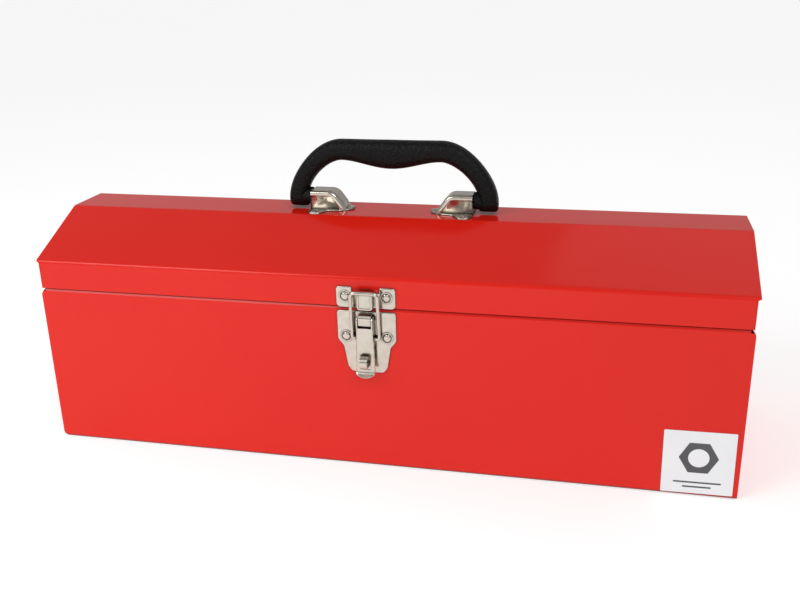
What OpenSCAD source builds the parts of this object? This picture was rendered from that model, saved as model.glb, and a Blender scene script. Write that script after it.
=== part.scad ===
// Hip-roof sheet-steel toolbox with a lift-out tray.
// X runs along the box, -Y is the front, +Z is up.
// The origin is the centre of the underside of the box.

/* [Box] */
// Length of the box over its end panels
box_l = 485; // [400:5:600]
// Depth of the box, front to back
box_w = 155; // [140:1:200]
// Height of the join between the body and the lid
seam_z = 118.8; // [100:0.2:125]
// Thickness of the painted sheet
sheet_t = 0.7; // [0.6:0.1:1.2]
// Outside radius of the bends along the bottom edges
heel_r = 2.5; // [1:0.5:4]
// Radius of the bottom corner at the left end
left_heel_r = 5; // [1:0.5:6]
// Radius of the bottom corner at the right end
right_heel_r = 1.2; // [1:0.2:6]

/* [Lid] */
// Height where the lid's upright skirt bends into its slope
shoulder_z = 139.5; // [130:0.5:155]
// Height of the flat top
roof_z = 165; // [155:1:190]
// Width of the flat top, front to back
roof_flat = 38.8; // [30:0.2:60]
// How far the roof sheet stands past the lid's end panels
roof_overhang = 1.8; // [1:0.2:5]

/* [Handle] */
// Sideways place of the handle's middle
handle_x = -0.9; // [-5:0.1:5]
// Height of the handle's pivot over the flat top
pivot_rise = 9; // [8.5:0.1:11]
// Height of the top of the grip over the pivot
grip_rise = 41.6; // [38:0.1:50]
// Half the distance between the middles of the two feet
leg_x = 68.9; // [68.4:0.1:69.4]
// Thickness of the grip at its middle
grip_d = 20.4; // [16:0.1:22]

/* [Latch] */
// Sideways place of the latch
latch_x = -2.2; // [-10:0.1:10]
// Height of the gap between the latch's catch plate and its base plate
latch_z = 118.2; // [100:0.2:125]
// Thickness of the plated latch sheet
latch_t = 1; // [0.8:0.1:1.2]
// Width of the catch plate and of the top of the base plate
latch_w = 40.4; // [36:0.2:50]

/* [Tray] */
// Half length of the tray's floor
tray_half_l = 235; // [200:1:236]
// Height of the tray's underside
tray_z = 72; // [60:1:80]
// Depth of the tray
tray_h = 41; // [30:1:42]
// Thickness of the tray's sheet
tray_t = 0.6; // [0.5:0.1:1]
// Distance of each divider from the middle
divider_x = 62; // [50:1:100]
// Reach of the tray's wire bail from its pivot
bail_reach = 38; // [30:1:45]

/* [Label] */
// Width and height of the square sticker
label_size = 45.2; // [30:0.1:60]

/* [Hidden] */
$fn = 48;
past = 2; // how far a cutting tool runs past what it cuts

red = "#d8261e";
nickel = "#b9b3a8";
black = "#1a1a1b";
steel = "#8c8f92";

// Box and lid
hl = box_l / 2;
hw = box_w / 2;
rim_gap = 0.5;                       // between the lid's skirt and the body's lip
lip_y = hw - sheet_t - rim_gap;      // outer face of the front and back lips
lip_x = hl - 2.3;                    // outer face of the lips at the ends
lip_top = seam_z + 4.5;
rim_top = seam_z - 0.2;              // top of the sloping rim, where the lip starts
rim_foot = seam_z - 2;               // where the walls bend into the rim
rim_r = 1;
lip_stop = hl - 3.2;                 // the long lips end here
rim_corner_r = 2.6;
lid_z = seam_z + 0.2;
skirt_end = hl - 1.8;
lid_end_x = skirt_end + sheet_t;
roof_end = lid_end_x + roof_overhang;
shoulder_r = 3;
roof_r = 4;
skirt_top = shoulder_z - 1.2;        // the skirts are cut back below this
flange = 12;
end_flange_z = lip_top + 1.5;

// Rear hinge
hinge_r = 2.1;
hinge_pin_r = 1.2;
hinge_bore_r = 1.25;
hinge_y = hw + hinge_r + 0.3;
leaf_t = 0.8;
leaf_h = 13;
leaf_gap = 0.5;
knuckles = 19;
knuckle_pitch = 25;
knuckle_gap = 0.4;

// Handle
pivot_z = roof_z + pivot_rise;
pin_r = 2.5;
pin_bore_r = 2.55;
leg_depth = 15.2;
leg_thick = 13.2;
foot_r = 1.5;
boss_r = 6.2;
shoulder_thick = 14.8;
foot_z = pivot_z - 7.6;
hood_x0 = 33;
hood_x1 = 58.8;
boss_x = hood_x1 + 0.15;
hood_w = 16.6;
hood_t = 1.2;
hood_top = roof_z + 14;
bracket_rivets = [[55, 14.2], [55, -14.2], [31.2, 0]];
bracket_rivet_r = [3.4, 3.4, 2.2];
shank_r = 1.5;
hole_r = 1.55;

// Latch, with distances taken outwards from the front of the box
fulcrum = [4.2, latch_z - 7.1];
link_pivot = [3.4, latch_z - 20.4];
fulcrum_r = 1.5;
fulcrum_bore_r = 1.55;
bridge_r = 3.1;
bridge_half_w = 4.5;
catch_rivet_z = latch_z + 8.4;
base_rivet_z = latch_z - 20;
latch_rivet_x = 14;
latch_rivet_r = 4.2;
base_top = latch_z - 1.9;
base_foot = latch_z - 45.9;
hook_out = 4.7;
hook_top = latch_z + 12.9;
hook_floor = hook_top - 1.8;
hook_half_w = 5.5;
link_r = 1.25;
link_bore_r = 1.3;
link_half_w = 9.2;
link_len = 32.9;
link_lean = asin((hook_out + link_r + 0.25 - link_pivot[0]) / link_len);
lever_out = 7;
lever_t = 0.9;
lever_half_w = 5.6;
lever_foot_half_w = 6.3;
lever_top = latch_z - 11.9;
lever_foot = latch_z - 43.3;
staple_z = latch_z - 35.1;
staple_half_w = 2.6;

// Tray
tray_top = tray_z + tray_h;
tray_half_w = 70.3;
bail_z = tray_top - 8;
bail_r = 2;
bail_bore_r = 2.05;
bail_leg_x = divider_x - 3.5;
ledge_t = 1.2;
ledge_reach = 13;

// ---- Sheet-metal profiles -------------------------------------------------

function unit(v) = v / norm(v);
function left_of(v) = [-v[1], v[0]];
function turn(a, b) = a[0] * b[1] - a[1] * b[0] >= 0 ? 1 : -1;
function backwards(p) = [for (i = [len(p) - 1 : -1 : 0]) p[i]];

// The path moved sideways by t, to the left of its direction
function beside(p, t) = [
    for (i = [0 : len(p) - 1])
        let (n0 = left_of(unit(i == 0 ? p[1] - p[0] : p[i] - p[i - 1])),
             n1 = left_of(unit(i == len(p) - 1 ? p[i] - p[i - 1] : p[i + 1] - p[i])))
        p[i] + t * (n0 + n1) / (1 + n0 * n1)
];

// The corner b between a and c, as an arc of radius r
function arc_corner(a, b, c, r, n) =
    let (d0 = unit(b - a),
         d1 = unit(c - b),
         s = turn(d0, d1),
         bend = acos(d0 * d1),
         start = b - d0 * r * tan(bend / 2),
         mid = start + s * r * left_of(d0),
         a0 = atan2(start[1] - mid[1], start[0] - mid[0]))
    r < 0.02 ? [b] : [for (i = [0 : n]) mid + r * [cos(a0 + s * bend * i / n), sin(a0 + s * bend * i / n)]];

// An open path with its corners rounded by the radii in r
function round_path(p, r, n = 6) = concat(
    [p[0]],
    [for (i = [1 : len(p) - 2]) each arc_corner(p[i - 1], p[i], p[i + 1], r[i - 1], n)],
    [p[len(p) - 1]]
);

// A closed outline with its corners rounded by the radii in r
function round_loop(p, r, n = 8) = [
    for (i = [0 : len(p) - 1])
        each arc_corner(p[(i + len(p) - 1) % len(p)], p[i], p[(i + 1) % len(p)], r[i], n)
];

// Bend radii on the other face of a sheet of thickness t
function other_radii(p, r, t) = [
    for (i = [1 : len(p) - 2]) max(0, r[i - 1] - t * turn(p[i] - p[i - 1], p[i + 1] - p[i]))
];

// The cross-section of a bent sheet: a path and its parallel, t to the left
function sheet(p, r, t, n = 6) = concat(
    round_path(p, r, n),
    backwards(round_path(beside(p, t), other_radii(p, r, t), n))
);

// Extrudes a drawing of (y, z) along X
module along_x(x0, x1) {
    translate([x0, 0, 0])
        rotate([90, 0, 90])
            linear_extrude(x1 - x0)
                children();
}

// Extrudes a drawing of (x, z) along Y
module along_y(y0, y1) {
    translate([0, y1, 0])
        rotate([90, 0, 0])
            linear_extrude(y1 - y0)
                children();
}

module rod_x(x0, x1, r, y = 0, z = 0) {
    translate([x0, y, z])
        rotate([0, 90, 0])
            cylinder(r = r, h = x1 - x0);
}

module box_between(a, b) {
    translate(a)
        cube(b - a);
}

// A domed rivet standing on the plane z = 0, with its shank and its clenched tail below
module rivet(head_r, head_h, grip, tail_r) {
    dome_r = (head_r * head_r + head_h * head_h) / (2 * head_h);
    half = asin(head_r / dome_r);
    dome = [for (i = [0 : 8]) dome_r * [sin(half * i / 8), cos(half * i / 8)] + [0, head_h - dome_r]];
    rotate_extrude()
        polygon(concat(dome, [[0, 0]]));
    translate([0, 0, -grip])
        cylinder(r = shank_r, h = grip);
    translate([0, 0, -grip - 0.9])
        cylinder(r = tail_r, h = 0.9);
}

// Puts children on the front of the box, with their +Z pointing outwards
module on_front(x, z) {
    translate([latch_x + x, -hw, z])
        rotate([90, 0, 0])
            children();
}

// ---- Body -----------------------------------------------------------------

trough_lower = [[-hw, rim_foot], [-hw, 0], [hw, 0], [hw, rim_foot]];
trough_full = concat(
    [[-lip_y, lip_top], [-lip_y, rim_top]],
    trough_lower,
    [[lip_y, rim_top], [lip_y, lip_top]]
);

// Takes off the corner between the end (at x) and the height z, leaving radius r
module corner_cut(x, z, r) {
    sx = x > 0 ? 1 : -1;
    sz = z > 1 ? 1 : -1;
    along_y(-hw - past, hw + past)
        difference() {
            translate([x - sx * r / 2, z - sz * r / 2])
                square(r + 0.02, center = true);
            translate([x - sx * r, z - sz * r])
                circle(r = r, $fn = 48);
            translate([x - sx * r * 1.5, z - sz * r / 2])
                square([r, 3 * r], center = true);
            translate([x - sx * r / 2, z - sz * r * 1.5])
                square([3 * r, r], center = true);
        }
}

module body_trough() {
    color(red)
    difference() {
        union() {
            along_x(-hl, hl)
                polygon(sheet(trough_lower, [heel_r, heel_r], sheet_t));
            along_x(-lip_stop, lip_stop)
                polygon(sheet(trough_full, [rim_r, rim_r, heel_r, heel_r, rim_r, rim_r], sheet_t));
        }
        corner_cut(-hl, 0, left_heel_r);
        corner_cut(hl, 0, right_heel_r);
        corner_cut(-hl, rim_foot, rim_corner_r);
        corner_cut(hl, rim_foot, rim_corner_r);
        for (s = [-1, 1])
            on_front(s * latch_rivet_x, base_rivet_z)
                translate([0, 0, -past])
                    cylinder(r = hole_r, h = 2 * past);
    }
}

// One end panel, drawn for the left end: a pressed pan inside the trough
module end_pan(bend_r) {
    inside = hw - sheet_t;
    side = [
        [-lip_x, lip_top],
        [-lip_x, rim_top],
        [-hl, rim_foot - rim_corner_r / 2],
        [-hl, sheet_t],
        [-hl + flange, sheet_t]
    ];
    difference() {
        along_y(-inside, inside)
            polygon(sheet(side, [rim_r, rim_corner_r, bend_r, 0], sheet_t));
        for (s = [-1, 1])
            translate([-hl + flange / 2, s * (hw + 4), lip_top])
                cube([2 * flange, 10, 2 * (lip_top - rim_foot) + 3], center = true);
        for (s = [-1, 1])
            translate([-hl, s * inside, 0])
                cube([2 * flange + 1, 2 * heel_r, 2 * heel_r], center = true);
    }
    for (s = [-1, 1])
        translate([-hl + sheet_t, s * (inside - sheet_t / 2) - sheet_t / 2, left_heel_r + 3])
            cube([flange - sheet_t, sheet_t, rim_foot - left_heel_r - 8]);
}

module body_end_left() {
    color(red)
    end_pan(left_heel_r);
}

module body_end_right() {
    color(red)
    mirror([1, 0, 0])
        end_pan(right_heel_r);
}

// An angle shelf spot-welded inside an end panel, drawn for the left end
module tray_ledge() {
    wall = -hl + sheet_t;
    along_y(-55, 55)
        polygon(sheet([[wall + ledge_reach, tray_z], [wall, tray_z], [wall, tray_z - 14]], [1.5], ledge_t));
}

module tray_ledge_left() {
    color(red)
    tray_ledge();
}

module tray_ledge_right() {
    color(red)
    mirror([1, 0, 0])
        tray_ledge();
}

module label_sticker() {
    tilt = 0.7;
    color("#d9d9d6")
    translate([216.4, -hw, 24.8])
        rotate([90, -tilt, 0])
            translate([-label_size / 2, -label_size / 2, 0])
                cube([label_size, label_size, 0.2]);
}

// ---- Rear hinge -----------------------------------------------------------

function knuckle_x(i) = (i - (knuckles - 1) / 2) * knuckle_pitch;

// One hinge leaf: a plate against the wall and every second knuckle; side is +1 above the pin
module hinge_leaf(side, first) {
    reach = knuckle_pitch * knuckles / 2;
    edge = hinge_r + leaf_gap;
    half = (knuckle_pitch - knuckle_gap) / 2;
    far = side * leaf_h;
    near = side * edge;
    difference() {
        union() {
            box_between([-reach, hw, seam_z + min(near, far)], [reach, hw + leaf_t, seam_z + max(near, far)]);
            for (i = [first : 2 : knuckles - 1]) {
                x = knuckle_x(i);
                rod_x(x - half, x + half, hinge_r, hinge_y, seam_z);
                box_between(
                    [x - half, hw, seam_z + min(0, far)],
                    [x + half, hw + leaf_t, seam_z + max(0, far)]
                );
            }
        }
        rod_x(-reach - past, reach + past, hinge_bore_r, hinge_y, seam_z);
    }
}

module hinge_leaf_body() {
    color(steel)
    hinge_leaf(-1, 0);
}

module hinge_leaf_lid() {
    color(steel)
    hinge_leaf(1, 1);
}

module hinge_pin() {
    reach = knuckle_pitch * knuckles / 2;
    color(steel)
    rod_x(-reach, reach, hinge_pin_r, hinge_y, seam_z);
}

// ---- Lid ------------------------------------------------------------------

roof_path = [
    [hw, lid_z],
    [hw, shoulder_z],
    [roof_flat / 2, roof_z],
    [-roof_flat / 2, roof_z],
    [-hw, shoulder_z],
    [-hw, lid_z]
];
roof_radii = [shoulder_r, roof_r, roof_r, shoulder_r];

module lid_roof() {
    color(red)
    difference() {
        along_x(-roof_end, roof_end)
            polygon(sheet(roof_path, roof_radii, sheet_t));
        for (s = [-1, 1])
            translate([s * (skirt_end + 10), 0, skirt_top - 20])
                cube([20, box_w + 2 * past, 40], center = true);
        bracket_holes(-1);
        bracket_holes(1);
        for (s = [-1, 1])
            on_front(s * latch_rivet_x, catch_rivet_z)
                translate([0, 0, -past])
                    cylinder(r = hole_r, h = 2 * past);
    }
}

// One end panel of the lid, drawn for the left end, with flanges under the roof sheet
module lid_end() {
    inner = beside(roof_path, sheet_t);
    inner_r = other_radii(roof_path, roof_radii, sheet_t);
    along_x(-lid_end_x, -skirt_end) {
        polygon(round_path(inner, inner_r));
        for (s = [-1, 1])
            translate([s * (hw - sheet_t) - (s < 0 ? sheet_t : 0), lid_z])
                square([sheet_t, skirt_top - 0.3 - lid_z]);
    }
    difference() {
        along_x(-skirt_end, -skirt_end + flange - 2)
            polygon(sheet(inner, inner_r, sheet_t));
        translate([-skirt_end + flange / 2, 0, end_flange_z - 10])
            cube([2 * flange, box_w, 20], center = true);
    }
}

module lid_end_left() {
    color(red)
    lid_end();
}

module lid_end_right() {
    color(red)
    mirror([1, 0, 0])
        lid_end();
}

// ---- Handle brackets ------------------------------------------------------

// Children are drawn for the right bracket, on the flat top
module at_bracket(side) {
    translate([handle_x, 0, roof_z])
        mirror([side < 0 ? 1 : 0, 0, 0])
            children();
}

module bracket_holes(side) {
    at_bracket(side)
        for (p = bracket_rivets)
            translate([p[0], p[1], -4])
                cylinder(r = hole_r, h = 8);
}

// The pressed hood that covers the handle's pin, and its riveted foot
module bracket() {
    half = [
        [hood_x1, 0],
        [hood_x1, 15],
        [57, 19.2],
        [50, 19.2],
        [46, 11.5],
        [37, 9.4],
        [30, 5.5],
        [28.2, 0]
    ];
    foot = concat(half, [for (i = [len(half) - 2 : -1 : 1]) [half[i][0], -half[i][1]]]);
    foot_r = [0, 1.5, 3, 3, 2.5, 5, 3, 1.5, 3, 5, 2.5, 3, 3, 1.5];
    top = hood_top - roof_z;
    difference() {
        union() {
            linear_extrude(hood_t)
                polygon(round_loop(foot, foot_r));
            along_y(-hood_w / 2, hood_w / 2)
                polygon(round_loop(
                    [[hood_x1, 0.4], [hood_x1, top], [41.5, top], [35, 5], [hood_x0, 0.4]],
                    [0, 1, 9, 3, 0]
                ));
        }
        along_y(-hood_w / 2 + hood_t, hood_w / 2 - hood_t)
            polygon(round_loop(
                [
                    [hood_x1 - hood_t, -1],
                    [hood_x1 - hood_t, top - hood_t],
                    [42, top - hood_t],
                    [36.4, 4.6],
                    [hood_x0 + 1.6, -1]
                ],
                [0, 0.4, 8, 2, 0]
            ));
        for (s = [-1, 1])
            along_y(s * hood_w / 2 - 0.5, s * hood_w / 2 + 0.5)
                polygon(round_loop(
                    [[hood_x1 + 1, 3.2], [hood_x1 + 1, 10.2], [43.5, 10.2], [38.6, 3.2]],
                    [0, 0, 5, 0.8]
                ));
        rod_x(hood_x1 - 2 * hood_t, hood_x1 + past, pin_bore_r, 0, pivot_rise);
        for (p = bracket_rivets)
            translate([p[0], p[1], -past])
                cylinder(r = hole_r, h = 2 * past);
    }
}

module handle_bracket_left() {
    color(nickel)
    at_bracket(-1)
        bracket();
}

module handle_bracket_right() {
    color(nickel)
    at_bracket(1)
        bracket();
}

module bracket_rivet_set(side) {
    grip = hood_t + sheet_t + 1;
    at_bracket(side)
        for (i = [0 : len(bracket_rivets) - 1])
            translate([bracket_rivets[i][0], bracket_rivets[i][1], hood_t])
                rivet(bracket_rivet_r[i], 1.2, grip, 2.4);
}

module handle_rivets_left() {
    color(nickel)
    bracket_rivet_set(-1);
}

module handle_rivets_right() {
    color(nickel)
    bracket_rivet_set(1);
}

// A plate under the roof sheet that spreads the handle's load
module backing(side) {
    at_bracket(side)
        translate([0, 0, -sheet_t - 1])
            difference() {
                linear_extrude(1)
                    polygon(round_loop(
                        [[27, -17.6], [61, -17.6], [61, 17.6], [27, 17.6]],
                        [3, 3, 3, 3]
                    ));
                for (p = bracket_rivets)
                    translate([p[0], p[1], -past])
                        cylinder(r = hole_r, h = 2 * past);
            }
}

module handle_backing_left() {
    color(steel)
    backing(-1);
}

module handle_backing_right() {
    color(steel)
    backing(1);
}

// ---- Handle ---------------------------------------------------------------

// Cubic curve through four control points
function bezier(p, t) =
    pow(1 - t, 3) * p[0] + 3 * t * pow(1 - t, 2) * p[1] + 3 * t * t * (1 - t) * p[2] + pow(t, 3) * p[3];

grip_top = pivot_z + grip_rise;
shoulder_x = 36;
grip_shoulder_z = grip_top - shoulder_thick / 2;
leg_curve = [
    [-leg_x, foot_z],
    [-leg_x - 5.7, foot_z + 15.7],
    [-leg_x + 15.8, grip_shoulder_z],
    [-shoulder_x, grip_shoulder_z]
];
leg_steps = 26;
top_steps = 10;
ring_sides = 24;

function smooth(t) = let (u = min(1, max(0, t))) u * u * (3 - 2 * u);
// How much a foot's rounded corners take off each side of the leg at a height
function foot_corner(z) = let (u = 1 - min(1, (z - foot_z) / foot_r)) foot_r * (1 - sqrt(1 - u * u));
// The left half of the handle, foot first, as [x, z, how thick, how far its rings follow the line]
half_line = concat(
    [for (i = [0 : leg_steps])
        let (t = pow(i / leg_steps, 1.5),
             p = bezier(leg_curve, t),
             d = leg_thick + (shoulder_thick - leg_thick) * smooth((t - 0.4) / 0.5))
        [p[0], p[1], d - 2 * foot_corner(p[1]), smooth(t / 0.35)]],
    [for (i = [1 : top_steps])
        let (t = i / top_steps, d = shoulder_thick + (grip_d - shoulder_thick) * smooth(t))
        [-shoulder_x * (1 - t), grip_top - d / 2, d, 1]]
);
half_n = len(half_line);
grip_line = concat(
    half_line,
    [for (i = [half_n - 2 : -1 : 0]) [-half_line[i][0], half_line[i][1], half_line[i][2], half_line[i][3]]]
);
grip_n = len(grip_line);

// A leg is deeper than it is thick, and its foot is a half circle about the pin from the side
function ring_at(i) =
    let (p = grip_line[i],
         q0 = grip_line[max(i - 1, 0)],
         q1 = grip_line[min(i + 1, grip_n - 1)],
         square = left_of(unit([q1[0] - q0[0], q1[1] - q0[1]])),
         out = unit(p[3] * square + [(1 - p[3]) * sign(p[0]), 0]),
         a = p[2] / 2,
         slimness = (grip_d - p[2]) / (grip_d - leg_thick),
         below = max(0, pivot_z - p[1]),
         foot_b = sqrt(max(0.3, pow(leg_depth / 2, 2) - below * below)),
         b = min(a + slimness * (leg_depth - leg_thick) / 2, foot_b))
    [for (k = [0 : ring_sides - 1])
        let (c = cos(360 * k / ring_sides),
             s = sin(360 * k / ring_sides),
             round = 0.82,
             u = a * sign(c) * pow(abs(c), round),
             v = b * sign(s) * pow(abs(s), round))
        [p[0] + out[0] * u, v, p[1] + out[1] * u]];

module grip_solid() {
    points = [for (i = [0 : grip_n - 1]) each ring_at(i)];
    sides = [
        for (i = [0 : grip_n - 2], k = [0 : ring_sides - 1])
            [i * ring_sides + k,
             i * ring_sides + (k + 1) % ring_sides,
             (i + 1) * ring_sides + (k + 1) % ring_sides,
             (i + 1) * ring_sides + k]
    ];
    first_cap = [for (k = [ring_sides - 1 : -1 : 0]) k];
    last_cap = [for (k = [0 : ring_sides - 1]) (grip_n - 1) * ring_sides + k];
    polyhedron(points, concat([first_cap], sides, [last_cap]), convexity = 6);
}

module handle_grip() {
    color(black)
    translate([handle_x, 0, 0])
        difference() {
            union() {
                grip_solid();
                for (s = [-1, 1])
                    rod_x(min(s * boss_x, s * leg_x), max(s * boss_x, s * leg_x), boss_r, 0, pivot_z);
            }
            for (s = [-1, 1])
                rod_x(min(s * 55, s * (leg_x + 2)), max(s * 55, s * (leg_x + 2)), pin_bore_r, 0, pivot_z);
        }
}

// The steel pin from the handle's leg into the bracket, with a head behind the bracket's wall
module handle_pin() {
    rod_x(hood_x1 - hood_t - 2.4, leg_x + 1.8, pin_r, 0, pivot_z);
    rod_x(hood_x1 - hood_t - 2.4, hood_x1 - hood_t - 0.3, 3.5, 0, pivot_z);
}

module handle_pin_left() {
    color(steel)
    translate([handle_x, 0, 0])
        mirror([1, 0, 0])
            handle_pin();
}

module handle_pin_right() {
    color(steel)
    translate([handle_x, 0, 0])
        handle_pin();
}

// ---- Latch ----------------------------------------------------------------

// Children are drawn with y as minus the distance out from the front of the box
module at_latch() {
    translate([latch_x, -hw, 0])
        children();
}

// Turns points of (distance out, height) into (y, z)
function out_up(p) = [for (q = p) [-q[0], q[1]]];

module latch_base_plate() {
    top = latch_w / 2;
    side = [
        [top, base_top],
        [top, latch_z - 22.6],
        [16.2, latch_z - 27.6],
        [13.8, latch_z - 42],
        [11, base_foot]
    ];
    outline = concat(side, [for (i = [len(side) - 1 : -1 : 0]) [-side[i][0], side[i][1]]]);
    outline_r = [2, 4, 4, 3, 1.5, 1.5, 3, 4, 4, 2];
    staple_out = 13.6;
    staple_half_h = 4.3;
    color(nickel)
    at_latch()
        difference() {
            union() {
                along_y(-latch_t, 0)
                    polygon(round_loop(outline, outline_r));
                rod_x(-bridge_half_w, bridge_half_w, bridge_r, -fulcrum[0], fulcrum[1]);
                box_between(
                    [-bridge_half_w, -fulcrum[0], fulcrum[1] - bridge_r],
                    [bridge_half_w, -latch_t / 2, fulcrum[1] + bridge_r]
                );
                along_x(-staple_half_w, staple_half_w)
                    polygon(out_up(round_loop(
                        [
                            [0.5, staple_z - staple_half_h],
                            [staple_out, staple_z - staple_half_h],
                            [staple_out, staple_z + staple_half_h],
                            [0.5, staple_z + staple_half_h]
                        ],
                        [0, 3.9, 3.9, 0]
                    )));
            }
            rod_x(-past - latch_w, past + latch_w, fulcrum_bore_r, -fulcrum[0], fulcrum[1]);
            along_x(-staple_half_w - past, staple_half_w + past)
                polygon(out_up(round_loop(
                    [
                        [latch_t, staple_z - staple_half_h + 1.2],
                        [staple_out - 1.2, staple_z - staple_half_h + 1.2],
                        [staple_out - 1.2, staple_z + staple_half_h - 1.2],
                        [latch_t, staple_z + staple_half_h - 1.2]
                    ],
                    [0, 2.7, 2.7, 0]
                )));
            for (s = [-1, 1])
                translate([s * latch_rivet_x, past, base_rivet_z])
                    rotate([90, 0, 0])
                        cylinder(r = hole_r, h = 3 * past);
        }
}

module latch_base_rivets() {
    color(nickel)
    for (s = [-1, 1])
        on_front(s * latch_rivet_x, base_rivet_z)
            translate([0, 0, latch_t])
                rivet(latch_rivet_r, 1.2, latch_t + sheet_t, 2.6);
}

module latch_fulcrum_pin() {
    color(steel)
    at_latch()
        rod_x(-lever_half_w - 0.5, lever_half_w + 0.5, fulcrum_r, -fulcrum[0], fulcrum[1]);
}

module latch_catch_plate() {
    ear_in = 9.2;
    ear_top = latch_z + 14.9;
    ear_foot = latch_z + 0.2;
    color(nickel)
    at_latch()
        difference() {
            union() {
                for (s = [-1, 1])
                    mirror([s < 0 ? 1 : 0, 0, 0])
                        along_y(-latch_t, 0)
                            polygon(round_loop(
                                [
                                    [ear_in, ear_foot],
                                    [latch_w / 2, ear_foot],
                                    [latch_w / 2, ear_top],
                                    [ear_in, ear_top]
                                ],
                                [0, 3, 2, 1.5]
                            ));
                along_y(-latch_t, 0)
                    translate([-ear_in, ear_foot])
                        square([2 * ear_in, hook_floor - ear_foot]);
                along_x(-hook_half_w, hook_half_w)
                    polygon(out_up(round_loop(
                        [
                            [0.5, ear_foot],
                            [3.4, latch_z - 1.1],
                            [hook_out, latch_z],
                            [hook_out, hook_top],
                            [hook_out - latch_t, hook_top],
                            [hook_out - latch_t, hook_floor],
                            [0.5, hook_floor]
                        ],
                        [0, 1, 1, 0.4, 0.4, 0, 0]
                    )));
            }
            along_x(-hook_half_w - past, hook_half_w + past)
                polygon(out_up([
                    [latch_t, ear_foot + 1],
                    [hook_out - latch_t, latch_z + 0.6],
                    [hook_out - latch_t, hook_floor - latch_t],
                    [latch_t, hook_floor - latch_t]
                ]));
            for (s = [-1, 1])
                translate([s * latch_rivet_x, past, catch_rivet_z])
                    rotate([90, 0, 0])
                        cylinder(r = hole_r, h = 3 * past);
        }
}

module latch_catch_rivets() {
    color(nickel)
    for (s = [-1, 1])
        on_front(s * latch_rivet_x, catch_rivet_z)
            translate([0, 0, latch_t])
                rivet(latch_rivet_r, 1.2, latch_t + sheet_t, 2.4);
}

// Front view of the lever's channel, drawn in by t on every side but its ends
module lever_outline(t) {
    z0 = t > 0 ? lever_foot - past : lever_foot;
    z1 = t > 0 ? lever_top + past : lever_top;
    polygon([
        [-lever_foot_half_w + t, z0],
        [lever_foot_half_w - t, z0],
        [lever_half_w - t, z1],
        [-lever_half_w + t, z1]
    ]);
}

// The lever: a channel with two deep cheeks that hang on the fulcrum pin and hold the link
module latch_lever() {
    cheek_in = 1.3;
    shallow_in = 4.8;
    web_in = lever_out - lever_t;
    lip = [[lever_out, lever_foot + 4], [lever_out, lever_foot + 0.6], [lever_out + 3.4, lever_foot - 2.4]];
    color(nickel)
    at_latch()
        difference() {
            union() {
                difference() {
                    along_y(-lever_out, -shallow_in)
                        lever_outline(0);
                    along_y(-web_in, -shallow_in + past)
                        lever_outline(lever_t);
                }
                for (s = [-1, 1])
                    along_x(min(s * lever_half_w, s * (lever_half_w - lever_t)),
                            max(s * lever_half_w, s * (lever_half_w - lever_t)))
                        polygon(out_up(round_loop(
                            [
                                [cheek_in, fulcrum[1] + 2.9],
                                [fulcrum[0] + 2.9, fulcrum[1] + 2.9],
                                [fulcrum[0] + 2.9, lever_top - 0.5],
                                [web_in - 0.6, lever_top - 1],
                                [web_in - 0.6, link_pivot[1] - 7],
                                [shallow_in, link_pivot[1] - 7],
                                [cheek_in, link_pivot[1] - 2.6]
                            ],
                            [2.85, 2.85, 0.5, 0, 0, 1, 1.5]
                        )));
                intersection() {
                    along_x(-lever_foot_half_w, lever_foot_half_w)
                        polygon(out_up(sheet(lip, [1.2], -lever_t)));
                    along_y(-2 * lever_out, 0)
                        polygon(round_loop(
                            [
                                [-lever_foot_half_w, lever_foot - 3.2],
                                [lever_foot_half_w, lever_foot - 3.2],
                                [lever_foot_half_w - 0.2, lever_foot + 5],
                                [-lever_foot_half_w + 0.2, lever_foot + 5]
                            ],
                            [3.5, 3.5, 0, 0]
                        ));
                }
            }
            rod_x(-past - lever_half_w, past + lever_half_w, fulcrum_bore_r, -fulcrum[0], fulcrum[1]);
            rod_x(-past - lever_half_w, past + lever_half_w, link_bore_r, -link_pivot[0], link_pivot[1]);
            box_between(
                [-staple_half_w - 0.8, -lever_out - past, staple_z - 6.2],
                [staple_half_w + 0.8, -web_in + past / 2, staple_z + 5]
            );
        }
}

// A quarter ring of wire in the (x, z) plane, centred at (x, z) and starting at angle a
module wire_corner(x, z, r, a) {
    translate([x, 0, z])
        rotate([90, 0, 0])
            rotate([0, 0, a])
                rotate_extrude(angle = 90)
                    translate([r, 0])
                        circle(r = link_r);
}

// The wire loop, standing on its pivot and leaning a little out of the hook
module latch_link() {
    low_r = 2;
    high_r = 3;
    color(nickel)
    at_latch()
        translate([0, -link_pivot[0], link_pivot[1]])
            rotate([link_lean, 0, 0]) {
                for (s = [-1, 1])
                    mirror([s < 0 ? 1 : 0, 0, 0]) {
                        rod_x(lever_half_w - lever_t - 0.5, link_half_w - low_r, link_r);
                        wire_corner(link_half_w - low_r, low_r, low_r, 270);
                        translate([link_half_w, 0, low_r])
                            cylinder(r = link_r, h = link_len - low_r - high_r);
                        wire_corner(link_half_w - high_r, link_len - high_r, high_r, 0);
                    }
                rod_x(high_r - link_half_w, link_half_w - high_r, link_r, 0, link_len);
            }
}

// ---- Tray -----------------------------------------------------------------

rim_w = 2;
rim_drop = 3;
wall_lean = 1;

module tray_pan() {
    half = [
        [tray_half_w + rim_w, tray_top - rim_drop],
        [tray_half_w + rim_w, tray_top],
        [tray_half_w, tray_top]
    ];
    floor_y = tray_half_w - wall_lean;
    path = concat(
        [for (p = half) [-p[0], p[1]]],
        [[-floor_y, tray_z], [floor_y, tray_z]],
        backwards(half)
    );
    color(red)
    along_x(-tray_half_l, tray_half_l)
        polygon(sheet(path, [0.8, 0.8, 2, 2, 0.8, 0.8], tray_t));
}

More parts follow.
